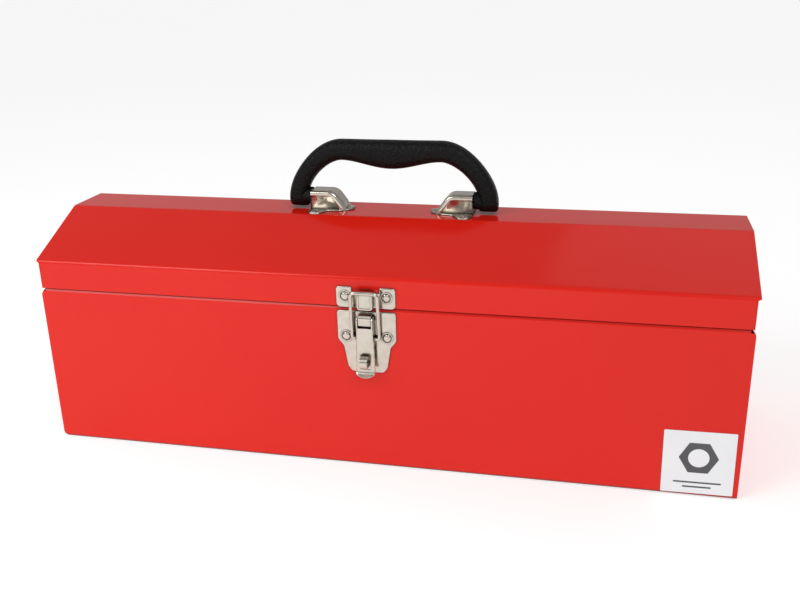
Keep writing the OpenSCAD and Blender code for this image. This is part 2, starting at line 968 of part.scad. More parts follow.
// One end of the tray, drawn for the left end
module tray_end() {
    x = -tray_half_l;
    path = [
        [x - rim_w, tray_top - rim_drop],
        [x - rim_w, tray_top],
        [x, tray_top],
        [x, tray_z + tray_t],
        [x + 10, tray_z + tray_t]
    ];
    reach = tray_half_w - wall_lean - tray_t - 1.8;
    along_y(-reach, reach)
        polygon(sheet(path, [0.8, 0.8, 1], tray_t));
}

module tray_end_left() {
    color(red)
    tray_end();
}

module tray_end_right() {
    color(red)
    mirror([1, 0, 0])
        tray_end();
}

// One divider, drawn for the right side, with its foot turned away from the middle
module tray_divider() {
    base = tray_z + tray_t;
    reach = tray_half_w - wall_lean - tray_t - 1.8;
    top = tray_top - 3;
    difference() {
        along_y(-reach, reach)
            polygon(sheet([[divider_x + 9, base], [divider_x, base], [divider_x, top]], [1], -tray_t));
        rod_x(divider_x - past, divider_x + past, bail_bore_r, 0, bail_z);
    }
}

module tray_divider_left() {
    color(red)
    mirror([1, 0, 0])
        tray_divider();
}

module tray_divider_right() {
    color(red)
    tray_divider();
}

// The wire bail that lifts the tray, folded flat towards the back
module tray_bail() {
    bend = 5;
    low = 3;
    color(steel)
    translate([0, 0, bail_z]) {
        for (s = [-1, 1])
            mirror([s < 0 ? 1 : 0, 0, 0]) {
                translate([bail_leg_x, low, 0])
                    rotate([-90, 0, 0])
                        cylinder(r = bail_r, h = bail_reach - low - bend);
                translate([bail_leg_x - bend, bail_reach - bend, 0])
                    rotate_extrude(angle = 90)
                        translate([bend, 0])
                            circle(r = bail_r);
                translate([bail_leg_x, low, 0])
                    sphere(r = bail_r);
                translate([bail_leg_x, 0, 0])
                    rotate([-90, 0, 0])
                        cylinder(r = bail_r, h = low);
                translate([bail_leg_x, 0, 0])
                    sphere(r = bail_r);
                rod_x(bail_leg_x, divider_x + 3, bail_r);
                rod_x(divider_x + 1.4, divider_x + 3, bail_r + 1.2);
            }
        rod_x(bend - bail_leg_x, bail_leg_x - bend, bail_r, bail_reach, 0);
    }
}

module tray_bail_grip() {
    half = 40;
    color(black)
    difference() {
        rod_x(-half, half, 4.5, bail_reach, bail_z);
        rod_x(-half - past, half + past, bail_r + 0.02, bail_reach, bail_z);
    }
}

body_trough();
body_end_left();
body_end_right();
tray_ledge_left();
tray_ledge_right();
hinge_leaf_body();
hinge_pin();
latch_base_plate();
latch_base_rivets();
latch_fulcrum_pin();
label_sticker();
lid_roof();
lid_end_left();
lid_end_right();
hinge_leaf_lid();
latch_catch_plate();
latch_catch_rivets();
handle_bracket_left();
handle_bracket_right();
handle_rivets_left();
handle_rivets_right();
handle_backing_left();
handle_backing_right();
handle_grip();
handle_pin_left();
handle_pin_right();
latch_lever();
latch_link();
tray_pan();
tray_end_left();
tray_end_right();
tray_divider_left();
tray_divider_right();
tray_bail();
tray_bail_grip();
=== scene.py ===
"""The looks of a hip-roof sheet-steel toolbox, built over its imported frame.

Shapes are worked out in millimetres and put into meshes in metres.
X runs along the box, -Y is the front and +Z is up.
"""
import logging
import math
from dataclasses import dataclass, field
from enum import Enum
from typing import Sequence

import bmesh
import bpy
import numpy as np
from mathutils import Matrix, Vector


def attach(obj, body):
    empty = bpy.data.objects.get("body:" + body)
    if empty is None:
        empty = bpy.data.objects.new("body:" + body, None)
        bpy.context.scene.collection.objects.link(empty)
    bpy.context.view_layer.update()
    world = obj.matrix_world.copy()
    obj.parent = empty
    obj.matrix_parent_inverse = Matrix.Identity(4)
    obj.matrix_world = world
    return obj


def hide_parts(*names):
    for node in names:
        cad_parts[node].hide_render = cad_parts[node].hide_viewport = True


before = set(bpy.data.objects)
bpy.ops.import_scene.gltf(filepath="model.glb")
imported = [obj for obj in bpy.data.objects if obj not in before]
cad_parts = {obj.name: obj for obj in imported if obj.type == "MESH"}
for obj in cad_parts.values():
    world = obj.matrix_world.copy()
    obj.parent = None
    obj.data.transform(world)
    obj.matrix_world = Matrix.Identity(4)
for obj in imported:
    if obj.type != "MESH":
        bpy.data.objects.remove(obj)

Array = np.ndarray
Colour = tuple[float, float, float]
MM = 0.001
SAME_POINT = 0.002 * MM
SHARP_ANGLE = math.radians(35)
log = logging.getLogger("toolbox")


class Axis(Enum):
    """The direction that a flat drawing is carried along."""

    X = "x"
    Y = "y"


# ---- Paths and outlines ------------------------------------------------------


def unit(vector: Array) -> Array:
    """The vector at length one."""
    return vector / np.linalg.norm(vector)


def arc_corner(before: Array, corner: Array, after: Array, radius: float, steps: int) -> Array:
    """A corner as a circular arc that touches both of its sides.

    The arc starts radius * tan(bend / 2) before the corner, and its centre lies one
    radius to the inner side of that point.

    Args:
        before: The point before the corner.
        corner: The corner.
        after: The point after the corner.
        radius: The radius of the arc.
        steps: The number of pieces in the arc.

    Returns:
        The arc's points, or the corner itself where there is nothing to round.
    """
    into, out = unit(corner - before), unit(after - corner)
    bend = math.acos(float(np.clip(into @ out, -1, 1)))
    if radius < 0.01 or bend < 0.001:
        return corner[None]
    side = math.copysign(1, into[0] * out[1] - into[1] * out[0])
    start = corner - into * radius * math.tan(bend / 2)
    centre = start + side * radius * np.array([-into[1], into[0]])
    first = math.atan2(*(start - centre)[::-1])
    angle = first + side * bend * np.linspace(0, 1, steps + 1)
    return centre + radius * np.stack([np.cos(angle), np.sin(angle)], axis=1)


def round_path(points: Sequence, radii: Sequence[float], steps: int = 12) -> Array:
    """An open path whose inner corners are arcs.

    Args:
        points: The path's points, in mm.
        radii: One radius for each point but the first and the last.
        steps: The number of pieces in each arc.

    Returns:
        The points of the rounded path.
    """
    p = np.asarray(points, float)
    corners = [arc_corner(p[i], p[i + 1], p[i + 2], r, steps) for i, r in enumerate(radii)]
    return np.concatenate([p[:1], *corners, p[-1:]])


def round_loop(points: Sequence, radii: Sequence[float], steps: int = 8) -> Array:
    """A closed outline whose corners are arcs.

    Args:
        points: The outline's corners, in mm.
        radii: One radius for each corner.
        steps: The number of pieces in each arc.

    Returns:
        The points of the rounded outline.
    """
    p = np.asarray(points, float)
    around = zip(np.roll(p, 1, axis=0), p, np.roll(p, -1, axis=0), radii)
    return np.concatenate([arc_corner(a, b, c, r, steps) for a, b, c, r in around])


def fill_in(path: Array, longest: float) -> Array:
    """The path with extra points, so that no piece is longer than the given length.

    Args:
        path: The points, in mm.
        longest: The greatest length of a piece, in mm.

    Returns:
        The path with its extra points.
    """
    parts = [path[:1]]
    for a, b in zip(path[:-1], path[1:]):
        count = max(1, math.ceil(float(np.linalg.norm(b - a)) / longest))
        parts.append(a + (b - a) * np.linspace(0, 1, count + 1)[1:, None])
    return np.concatenate(parts)


def beside(path: Array, distance: float, closed: bool = False) -> Array:
    """The path moved sideways, to the left of its direction.

    Each point moves along the mean of its two sides' normals, stretched by the mitre so
    that the sides themselves move by the distance.

    Args:
        path: The points.
        distance: How far to move, in mm; negative moves to the right.
        closed: Whether the last point joins the first.

    Returns:
        The moved points.
    """
    step = np.roll(path, -1, axis=0) - path
    if not closed:
        step[-1] = step[-2]
    step /= np.maximum(np.linalg.norm(step, axis=1, keepdims=True), 1e-9)
    normal = np.stack([-step[:, 1], step[:, 0]], axis=1)
    earlier = np.roll(normal, 1, axis=0)
    if not closed:
        earlier[0] = normal[0]
    mitre = 1 + (normal * earlier).sum(axis=1, keepdims=True)
    return path + distance * (normal + earlier) / np.maximum(mitre, 0.3)


# ---- Meshes ------------------------------------------------------------------


def make_object(name: str, vertices: Array, faces: list[list[int]], bevel: float = 0.0) -> bpy.types.Object:
    """Puts a surface, given in mm, into a new smooth-shaded object that faces outwards.

    Args:
        name: The piece's name.
        vertices: The points, in mm.
        faces: The faces, as lists of point numbers.
        bevel: The width of the bevel on sharp edges in mm, or 0 for none.

    Returns:
        The new object.
    """
    mesh = bpy.data.meshes.new(name)
    mesh.from_pydata((vertices.reshape(-1, 3) * MM).tolist(), [], faces)
    work = bmesh.new()
    work.from_mesh(mesh)
    bmesh.ops.remove_doubles(work, verts=work.verts, dist=SAME_POINT)
    bmesh.ops.dissolve_degenerate(work, edges=work.edges, dist=SAME_POINT)
    bmesh.ops.recalc_face_normals(work, faces=work.faces)
    work.to_mesh(mesh)
    work.free()
    mesh.shade_smooth()
    mesh.set_sharp_from_angle(angle=SHARP_ANGLE)
    piece = bpy.data.objects.new(name, mesh)
    bpy.context.scene.collection.objects.link(piece)
    if bevel:
        round_edges(piece, bevel, hardened=True)
    return piece


def round_edges(piece: bpy.types.Object, width: float, hardened: bool = False) -> None:
    """Rounds a piece's sharp edges with a bevel.

    Args:
        piece: The piece.
        width: The width of the bevel, in mm.
        hardened: Whether the flat faces beside it keep their own normals.
    """
    edge = piece.modifiers.new("rounded_edges", "BEVEL")
    edge.width = width * MM
    edge.segments = 2
    edge.limit_method = "ANGLE"
    edge.angle_limit = SHARP_ANGLE
    edge.harden_normals = hardened


def side_word(side: int) -> str:
    """The word for a side: -1 is left and 1 is right."""
    return "left" if side < 0 else "right"


def grid_faces(rows: int, columns: int) -> Array:
    """The faces of a grid of points.

    Args:
        rows: The number of rows of points.
        columns: The number of points in a row.

    Returns:
        The faces' point numbers, shaped (rows - 1, columns - 1, 4).
    """
    i, k = np.meshgrid(np.arange(rows - 1), np.arange(columns - 1), indexing="ij")
    corner = i * columns + k
    return np.stack([corner, corner + 1, corner + columns + 1, corner + columns], axis=-1)


def ring_faces(rings: int, sides: int, capped: bool = True) -> list[list[int]]:
    """The faces of a stack of closed rings, with a flat face over each end if it is capped.

    Args:
        rings: The number of rings.
        sides: The number of points in a ring.
        capped: Whether each end has a face.

    Returns:
        The faces, as lists of point numbers.
    """
    i, k = np.meshgrid(np.arange(rings - 1), np.arange(sides), indexing="ij")
    after = (k + 1) % sides
    corners = [i * sides + k, i * sides + after, (i + 1) * sides + after, (i + 1) * sides + k]
    faces = np.stack(corners, axis=-1).reshape(-1, 4).tolist()
    if capped:
        faces.append(list(range(sides))[::-1])
        faces.append([(rings - 1) * sides + k for k in range(sides)])
    return faces


def swept_sheet(
    name: str,
    axis: Axis,
    path: Array,
    thickness: float,
    low: Array,
    high: Array,
    columns: int,
    bevel: float = 0.15,
) -> bpy.types.Object:
    """A bent sheet: a path and its parallel, carried in a straight line.

    A point is (low + (high - low) * t) along the axis for t from 0 to 1, and on the path
    across it, so the sheet's ends follow low and high as the path goes round.

    Args:
        name: The piece's name.
        axis: The axis that the path is carried along.
        path: The path's points across the axis, in mm.
        thickness: How far the other face is to the left of the path.
        low: Where the sheet starts along the axis, for each point.
        high: Where it ends along the axis, for each point.
        columns: The number of points along the axis.
        bevel: The width of the bevel on the sheet's edges.

    Returns:
        The new object.
    """
    loop = np.concatenate([path, beside(path, thickness)[::-1]])
    starts, ends = np.concatenate([low, low[::-1]]), np.concatenate([high, high[::-1]])
    t = np.linspace(0, 1, columns)[:, None]
    along = starts + (ends - starts) * t
    first = np.broadcast_to(loop[:, 0], along.shape)
    up = np.broadcast_to(loop[:, 1], along.shape)
    grid = np.stack([along, first, up] if axis is Axis.X else [first, along, up], axis=-1)
    count, half = len(loop), len(path)
    faces = ring_faces(columns, count, capped=False)
    i = np.arange(half - 1)
    end = np.stack([i, i + 1, count - 2 - i, count - 1 - i], axis=1)
    faces += end.tolist() + (end[:, ::-1] + (columns - 1) * count).tolist()
    return make_object(name, grid, faces, bevel)


def loft(name: str, rings: Array, bevel: float = 0.0) -> bpy.types.Object:
    """A closed solid through a stack of rings, shaped (rings, points, 3)."""
    return make_object(name, rings, ring_faces(*rings.shape[:2]), bevel)


def rolled_edge(radius: float, level: float, steps: int = 5) -> list[tuple[float, float]]:
    """A quarter circle that rolls an edge over, as (how high, how far drawn in), up to the level."""
    angle = np.linspace(0, np.pi / 2, steps + 1)
    return list(zip(level - radius + radius * np.sin(angle), radius * (1 - np.cos(angle))))


def stacked(outline: Array, levels: Sequence[tuple[float, float]]) -> Array:
    """Copies of a closed outline at several levels, each drawn in by its own distance.

    Args:
        outline: The outline's points, turning left.
        levels: For each copy, its level and how far it is drawn in.

    Returns:
        The rings as (first, second, level), shaped (levels, points, 3).
    """
    rings = []
    for level, inset in levels:
        rings.append(np.c_[beside(outline, inset, closed=True), np.full(len(outline), level)])
    return np.stack(rings)


def turned(
    name: str, profile: Sequence[tuple[float, float]], stands: Sequence, axes: Array, sides: int = 40
) -> bpy.types.Object:
    """Round heads turned from one profile, as one piece.

    A point is at radius r round each stand's axis and at height h along it.

    Args:
        name: The piece's name.
        profile: The (radius, height) pairs from the foot to the top.
        stands: The foot of each head, in mm.
        axes: Three rows: the two directions across the axis, and the axis.
        sides: The number of points in each ring.

    Returns:
        The new object.
    """
    r, h = np.asarray(profile, float).T
    angle = np.linspace(0, 2 * np.pi, sides, endpoint=False)
    r, h = r[:, None], np.repeat(h[:, None], sides, 1)
    head = np.stack([r * np.cos(angle), r * np.sin(angle), h], -1) @ np.asarray(axes, float)
    count, one = len(profile) * sides, ring_faces(len(profile), sides)
    points = np.concatenate([(head + np.asarray(stand, float)).reshape(-1, 3) for stand in stands])
    faces = [[i + k * count for i in face] for k in range(len(stands)) for face in one]
    return make_object(name, points, faces)


def wire(name: str, path: Array, radius: float, across: Array, sides: int = 20) -> bpy.types.Object:
    """A round wire along a flat path: a circle carried square to the path.

    Args:
        name: The piece's name.
        path: The points of the wire's middle, in mm.
        radius: The wire's radius.
        across: The unit vector square to the plane that the path lies in.
        sides: The number of points round the wire.

    Returns:
        The new object.
    """
    ahead = np.gradient(path, axis=0)
    ahead /= np.linalg.norm(ahead, axis=1, keepdims=True)
    side = np.cross(ahead, across)
    angle = np.linspace(0, 2 * np.pi, sides, endpoint=False)[None, :, None]
    return loft(name, path[:, None] + radius * (np.cos(angle) * side[:, None] + np.sin(angle) * across))


# ---- Finishes ----------------------------------------------------------------


class NodeTree:
    """A new material's node tree, with short calls to add and join nodes."""

    def __init__(self, name: str) -> None:
        """Makes the material with a Principled surface and its object coordinates.

        Args:
            name: The material's name.
        """
        self.material = bpy.data.materials.new(name)
        self.material.use_nodes = True
        self.nodes = self.material.node_tree.nodes
        self.surface = self.nodes["Principled BSDF"]
        self.place = self.add("ShaderNodeTexCoord").outputs["Object"]

    def add(self, kind: str, **settings: object) -> bpy.types.Node:
        """Adds a node and sets its properties by name.

        Args:
            kind: The node's type.
            settings: Its properties by name.

        Returns:
            The new node.
        """
        node = self.nodes.new(kind)
        for key, value in settings.items():
            setattr(node, key, value)
        return node

    def join(self, source: bpy.types.NodeSocket, target: bpy.types.NodeSocket) -> None:
        """Joins one socket to another."""
        self.material.node_tree.links.new(source, target)

    def set(self, **values: object) -> None:
        """Sets inputs of the surface; an underscore in a name stands for a space."""
        for key, value in values.items():
            self.surface.inputs[key.replace("_", " ")].default_value = value

    def noise(self, scale: float, detail: float = 2.0, stretch: Colour = (1, 1, 1)) -> bpy.types.NodeSocket:
        """Noise with features of about 1 / scale metres.

        Args:
            scale: The number of features in a metre.
            detail: How many finer layers it has.
            stretch: The factor on each axis; a low one draws the noise out along it.

        Returns:
            The socket with the noise, from 0 to 1.
        """
        place = self.add("ShaderNodeMapping")
        place.inputs["Scale"].default_value = stretch
        self.join(self.place, place.inputs["Vector"])
        noise = self.add("ShaderNodeTexNoise")
        noise.inputs["Scale"].default_value = scale
        noise.inputs["Detail"].default_value = detail
        self.join(place.outputs["Vector"], noise.inputs["Vector"])
        return noise.outputs["Fac"]

    def spread(self, value: bpy.types.NodeSocket, source: tuple, target: tuple) -> bpy.types.NodeSocket:
        """A value stretched from one range to another and held inside it.

        Args:
            value: The value.
            source: Where its range starts and ends.
            target: What those two turn into.

        Returns:
            The socket with the new value.
        """
        node = self.add("ShaderNodeMapRange", clamp=True)
        for key, number in zip(("From Min", "From Max", "To Min", "To Max"), (*source, *target)):
            node.inputs[key].default_value = number
        self.join(value, node.inputs["Value"])
        return node.outputs["Result"]

    def blend(self, share: bpy.types.NodeSocket, first: Colour, second: Colour) -> bpy.types.NodeSocket:
        """One colour turning into another as share goes from 0 to 1.

        Args:
            share: The share of the second colour.
            first: The colour at 0.
            second: The colour at 1.

        Returns:
            The socket with the colour.
        """
        node = self.add("ShaderNodeMix", data_type="RGBA")
        node.inputs[6].default_value = (*first, 1)
        node.inputs[7].default_value = (*second, 1)
        self.join(share, node.inputs["Factor"])
        return node.outputs[2]

    def painted_crease_shade(self, colour: bpy.types.NodeSocket, reach: float, shade_colour: Colour) -> bpy.types.NodeSocket:
        """The colour, darkened to painted shade where other surfaces are within a reach in mm.

        Args:
            colour: The clean colour.
            reach: How near a surface is, in mm, for painted shade to fall.
            shade_colour: The colour of the painted shade.

        Returns:
            The socket with the colour.
        """
        # Painted shade: ambient occlusion pulls the colour towards the shade colour in creases and beside
        # nearby parts.
        open_share = self.add("ShaderNodeAmbientOcclusion", samples=8)
        open_share.inputs["Distance"].default_value = reach * MM
        node = self.add("ShaderNodeMix", data_type="RGBA")
        node.inputs[7].default_value = (*shade_colour, 1)
        self.join(colour, node.inputs[6])
        self.join(self.spread(open_share.outputs["AO"], (0.3, 0.97), (1, 0)), node.inputs["Factor"])
        return node.outputs[2]

    def bump(
        self, height: bpy.types.NodeSocket, depth: float, before: bpy.types.NodeSocket | None = None
    ) -> bpy.types.NodeSocket:
        """A normal that tilts with a height.

        Args:
            height: The height, from 0 to 1.
            depth: The depth of that height, in mm.
            before: A normal to start from.

        Returns:
            The socket with the normal.
        """
        node = self.add("ShaderNodeBump")
        node.inputs["Distance"].default_value = depth * MM
        self.join(height, node.inputs["Height"])
        if before is not None:
            self.join(before, node.inputs["Normal"])
        return node.outputs["Normal"]

    def soft_edges(self, radius: float) -> bpy.types.NodeSocket:
        """A normal that is rounded over sharp edges by a radius in mm.

        Args:
            radius: The radius, in mm.

        Returns:
            The socket with the normal.
        """
        node = self.add("ShaderNodeBevel", samples=4)
        node.inputs["Radius"].default_value = radius * MM
        return node.outputs["Normal"]


@dataclass(frozen=True)
class Enamel:
    """Gloss baked enamel on sheet steel: orange peel, slow waves, faint rubbing and painted shade in creases.
    """

    name: str = "gloss_red_enamel"
    colour: Colour = (0.70, 0.016, 0.007)
    thick: Colour = (0.62, 0.011, 0.006)
    gloss: float = 0.10
    rubbed: float = 0.19
    # Colour of the painted shade in creases, round the latch and along the seam.
    crease_shade: Colour = (0.06, 0.004, 0.003)
    shine: float = 0.26

    def build(self) -> bpy.types.Material:
        """Makes the material.

        Returns:
            The material.
        """
        tree = NodeTree(self.name)
        tree.set(Specular_IOR_Level=self.shine)
        paint = tree.blend(tree.noise(5), self.colour, self.thick)
        # Painted shade darkens the paint within 3 mm of other surfaces.
        tree.join(tree.painted_crease_shade(paint, 3, self.crease_shade), tree.surface.inputs["Base Color"])
        rub = tree.spread(tree.noise(60, 5, (0.3, 1, 1)), (0.45, 0.75), (self.gloss, self.rubbed))
        tree.join(rub, tree.surface.inputs["Roughness"])
        normal = tree.bump(tree.noise(9, 1), 1.1, tree.soft_edges(0.3))
        normal = tree.bump(tree.noise(620, 2), 0.006, normal)
        tree.join(normal, tree.surface.inputs["Normal"])
        return tree.material


@dataclass(frozen=True)
class Nickel:
    """Bright nickel plate over pressed steel, with drawing lines, handling haze and painted shade in creases.
    """

    name: str = "bright_nickel"
    colour: Colour = (0.60, 0.55, 0.48)
    dull: Colour = (0.53, 0.485, 0.42)
    # Colour of the painted shade in creases and round rivets and bars.
    crease_shade: Colour = (0.035, 0.028, 0.02)
    gloss: float = 0.14
    haze: float = 0.25
    edge: float = 0.3

    def build(self) -> bpy.types.Material:
        """Makes the material.

        Returns:
            The material.
        """
        tree = NodeTree(self.name)
        tree.set(Metallic=1.0)
        stain = tree.spread(tree.noise(220, 4), (0.4, 0.7), (0, 1))
        plate = tree.blend(stain, self.colour, self.dull)
        # Painted shade darkens the plate within 2.4 mm of other surfaces.
        tree.join(tree.painted_crease_shade(plate, 2.4, self.crease_shade), tree.surface.inputs["Base Color"])
        haze = tree.spread(tree.noise(90, 5), (0.35, 0.7), (self.gloss, self.haze))
        tree.join(haze, tree.surface.inputs["Roughness"])
        normal = tree.bump(tree.noise(130, 2), 0.05, tree.soft_edges(self.edge))
        normal = tree.bump(tree.noise(1500, 2, (1, 1, 0.08)), 0.003, normal)
        tree.join(normal, tree.surface.inputs["Normal"])
        return tree.material


@dataclass(frozen=True)
class GrainedPlastic:
    """Black moulded plastic with a fine leather grain."""

    name: str = "grained_black_plastic"
    colour: Colour = (0.0025, 0.0025, 0.0025)
    worn: Colour = (0.006, 0.006, 0.006)
    shine: float = 0.13
    pebble: float = 620.0
    depth: float = 0.55

    def build(self) -> bpy.types.Material:
        """Makes the material.

        Returns:
            The material.
        """
        tree = NodeTree(self.name)
        tree.set(Specular_IOR_Level=self.shine)
        tree.join(tree.blend(tree.noise(90, 4), self.colour, self.worn), tree.surface.inputs["Base Color"])
        cells = tree.add("ShaderNodeTexVoronoi", feature="SMOOTH_F1")
        cells.inputs["Scale"].default_value = self.pebble
        cells.inputs["Randomness"].default_value = 1
        tree.join(tree.place, cells.inputs["Vector"])
        dome = tree.spread(cells.outputs["Distance"], (0, 0.8), (1, 0))
        tree.join(tree.spread(dome, (0, 1), (0.5, 0.3)), tree.surface.inputs["Roughness"])
        normal = tree.bump(dome, self.depth)
        normal = tree.bump(tree.noise(2400, 2), 0.02, normal)
        tree.join(normal, tree.surface.inputs["Normal"])
        return tree.material


@dataclass(frozen=True)
class Film:
    """Printed plastic film: a plain colour with a faint satin unevenness."""

    name: str
    colour: Colour
    tint: Colour
    gloss: float = 0.28

    def build(self) -> bpy.types.Material:
        """Makes the material.

        Returns:
            The material.
        """
        tree = NodeTree(self.name)
        tree.join(tree.blend(tree.noise(45, 3), self.colour, self.tint), tree.surface.inputs["Base Color"])
        haze = tree.spread(tree.noise(150, 3), (0.3, 0.7), (self.gloss, self.gloss + 0.12))
        tree.join(haze, tree.surface.inputs["Roughness"])
        tree.join(tree.bump(tree.noise(70, 2), 0.05), tree.surface.inputs["Normal"])
        return tree.material


class Finish(Enum):
    """The finishes on the toolbox."""

    ENAMEL = Enamel()
    NICKEL = Nickel()
    WIRE = Nickel(name="nickel_wire", gloss=0.12, haze=0.22, edge=0.1)
    ZINC = Nickel(name="zinc_plate", colour=(0.60, 0.61, 0.63), dull=(0.45, 0.46, 0.48), gloss=0.3, haze=0.45)
    PLASTIC = GrainedPlastic()
    FILM = Film("white_film", (0.80, 0.81, 0.82), (0.72, 0.74, 0.76))
    PRINT = Film("grey_print", (0.055, 0.058, 0.063), (0.075, 0.078, 0.083))


@dataclass
class Workshop:
    """Builds each finish once, dresses pieces in it and reports them."""

    materials: dict[Finish, bpy.types.Material] = field(default_factory=dict)

    def material(self, finish: Finish) -> bpy.types.Material:
        """The finish's material, made on first use.

        Args:
            finish: The finish.

        Returns:
            Its material.
        """
        if finish not in self.materials:
            self.materials[finish] = finish.value.build()
        return self.materials[finish]

    def dress(self, piece: bpy.types.Object, finish: Finish) -> None:
        """Gives a piece one finish all over."""
        piece.data.materials.clear()
        piece.data.materials.append(self.material(finish))

    def keep(self, nodes: Sequence[str], finish: Finish) -> None:
        """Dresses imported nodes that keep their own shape.

        Args:
            nodes: The names of the nodes.
            finish: Their finish.
        """
        for node in nodes:
            self.dress(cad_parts[node], finish)
            log.info("%s keeps its shape, in %s", node, finish.value.name)

    def fit(self, piece: bpy.types.Object, body: str, slot: str, finish: Finish, *nodes: str) -> None:
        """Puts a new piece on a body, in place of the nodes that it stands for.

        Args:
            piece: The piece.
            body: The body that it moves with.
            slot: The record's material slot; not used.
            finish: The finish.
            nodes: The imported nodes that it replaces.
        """
        self.dress(piece, finish)
        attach(piece, body)
        if nodes:
            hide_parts(*nodes)
        log.info("%s rides on %s, in %s", piece.name, body, finish.value.name)


# ---- Box ---------------------------------------------------------------------


@dataclass
class Shell:
    """The sizes that the body and the lid share, in mm."""

    half_l: float = 242.5
    half_w: float = 77.5
    sheet: float = 0.7
    seam_z: float = 118.8
    rim_foot: float = 116.8
    rim_top: float = 118.6
    lip_top: float = 123.3
    rim_gap: float = 0.5
    end_lip: float = 240.2
    end_lip_stop: float = 239.3


@dataclass
class Body:
    """The open box: a trough bent from one sheet, and an end panel at each end."""

    shell: Shell
    heel_r: float = 2.5
    left_heel_r: float = 5.0
    right_heel_r: float = 1.2
    rim_corner_r: float = 2.6
    flange: float = 12.0
    flange_top: float = 2.5
    lip_stop: float = 1.8
    flange_stop: float = 2.0

    def end_of_wall(self, height: Array, foot_r: float) -> Array:
        """How far the wall reaches along X at each height.

        It is the half length, drawn in along a quarter circle at the foot and another at
        the rim, and the lip above the rim stops short of the end panel's.

        Args:
            height: The heights, in mm.
            foot_r: The radius of the wall's foot.

        Returns:
            The reach at each height, in mm.
        """
        s = self.shell
        low = np.clip(1 - height / foot_r, 0, 1)
        high = np.clip(1 - (s.rim_foot - height) / self.rim_corner_r, 0, 1)
        drawn_in = foot_r * (1 - np.sqrt(1 - low**2)) + self.rim_corner_r * (1 - np.sqrt(1 - high**2))
        return np.where(height > s.rim_foot + 0.05, s.end_lip_stop, s.half_l - drawn_in)

    def trough(self) -> bpy.types.Object:
        """The front, bottom and back in one sheet, with a sloping rim and a lip.

        Returns:
            The new object.
        """
        s = self.shell
        lip_y = s.half_w - s.sheet - s.rim_gap
        corners = [
            [-lip_y, s.lip_top], [-lip_y, s.rim_top], [-s.half_w, s.rim_foot], [-s.half_w, 0],
            [s.half_w, 0], [s.half_w, s.rim_foot], [lip_y, s.rim_top], [lip_y, s.lip_top],
        ]
        path = round_path(corners, [1, 1, self.heel_r, self.heel_r, 1, 1])
        path = fill_in(path, 1.2)
        low = -self.end_of_wall(path[:, 1], self.left_heel_r)
        high = self.end_of_wall(path[:, 1], self.right_heel_r)
        return swept_sheet("body_sheet", Axis.X, path, s.sheet, low, high, 48)

    def end_panel(self, side: int, heel_r: float) -> bpy.types.Object:
        """An end panel: lip, rim, wall and a foot turned in under the box; side is -1 at the left.

        Args:
            side: -1 for the left end and 1 for the right.
            heel_r: The radius of its heel, in mm.

        Returns:
            The new object.
        """
        s = self.shell
        corners = [
            [s.end_lip, s.lip_top], [s.end_lip, s.rim_top], [s.half_l, s.rim_foot - self.rim_corner_r / 2],
            [s.half_l, s.sheet], [s.half_l - self.flange, s.sheet],
        ]
        path = round_path(corners, [1, self.rim_corner_r, heel_r], 16) * [side, 1]
        path = fill_in(path, 4)
        inside = s.half_w - s.sheet
        reach = np.where(path[:, 1] > s.rim_foot, inside - self.lip_stop, inside)
        reach = np.where(path[:, 1] < self.flange_top, inside - self.flange_stop, reach)
        name = f"body_end_panel_{side_word(side)}"
        return swept_sheet(name, Axis.Y, path, -side * s.sheet, -reach, reach, 12)

    def build(self, shop: Workshop) -> None:
        """Makes the body's sheets and puts them on the box.

        Args:
            shop: The workshop that dresses the pieces and reports them.
        """
        shop.fit(self.trough(), "box", "red_paint", Finish.ENAMEL, "body_trough")
        left, right = self.end_panel(-1, self.left_heel_r), self.end_panel(1, self.right_heel_r)
        shop.fit(left, "box", "red_paint", Finish.ENAMEL, "body_end_left")
        shop.fit(right, "box", "red_paint", Finish.ENAMEL, "body_end_right")
        shop.keep(["tray_ledge_left", "tray_ledge_right"], Finish.ENAMEL)


@dataclass
class Lid:
    """The hip-roof lid: one bent sheet and an end panel at each end."""

    shell: Shell
    shoulder_z: float = 139.5
    roof_z: float = 165.0
    flat: float = 38.8
    shoulder_r: float = 3.0
    roof_r: float = 4.0
    skirt_end: float = 240.7
    roof_end: float = 243.2
    skirt_top: float = 138.3

    def profile(self) -> list[list[float]]:
        """The corners of the roof, from the back skirt over to the front one.

        Returns:
            The corners as (y, z), in mm.
        """
        s = self.shell
        foot = s.seam_z + 0.2
        return [
            [s.half_w, foot], [s.half_w, self.shoulder_z], [self.flat / 2, self.roof_z],
            [-self.flat / 2, self.roof_z], [-s.half_w, self.shoulder_z], [-s.half_w, foot],
        ]

    def roof(self) -> bpy.types.Object:
        """The roof sheet, whose skirts stop short of its overhanging slopes.

        Returns:
            The new object.
        """
        radii = [self.shoulder_r, self.roof_r, self.roof_r, self.shoulder_r]
        path = fill_in(round_path(self.profile(), radii), 1.5)
        above = np.clip((path[:, 1] - self.skirt_top + 0.6) / 0.8, 0, 1)
        reach = self.skirt_end + (self.roof_end - self.skirt_end) * above
        return swept_sheet("lid_sheet", Axis.X, path, self.shell.sheet, -reach, reach, 48)

    def build(self, shop: Workshop) -> None:
        """Makes the lid's sheet and dresses its ends."""
        shop.fit(self.roof(), "lid", "red_paint", Finish.ENAMEL, "lid_roof")
        shop.keep(["lid_end_left", "lid_end_right"], Finish.ENAMEL)


@dataclass
class RearHinge:
    """The long hinge: two leaves under the enamel and a pin."""

    def build(self, shop: Workshop) -> None:
        """Dresses the leaves and the pin."""
        shop.keep(["hinge_leaf_body", "hinge_leaf_lid"], Finish.ENAMEL)
        shop.keep(["hinge_pin"], Finish.ZINC)


# ---- Handle ------------------------------------------------------------------


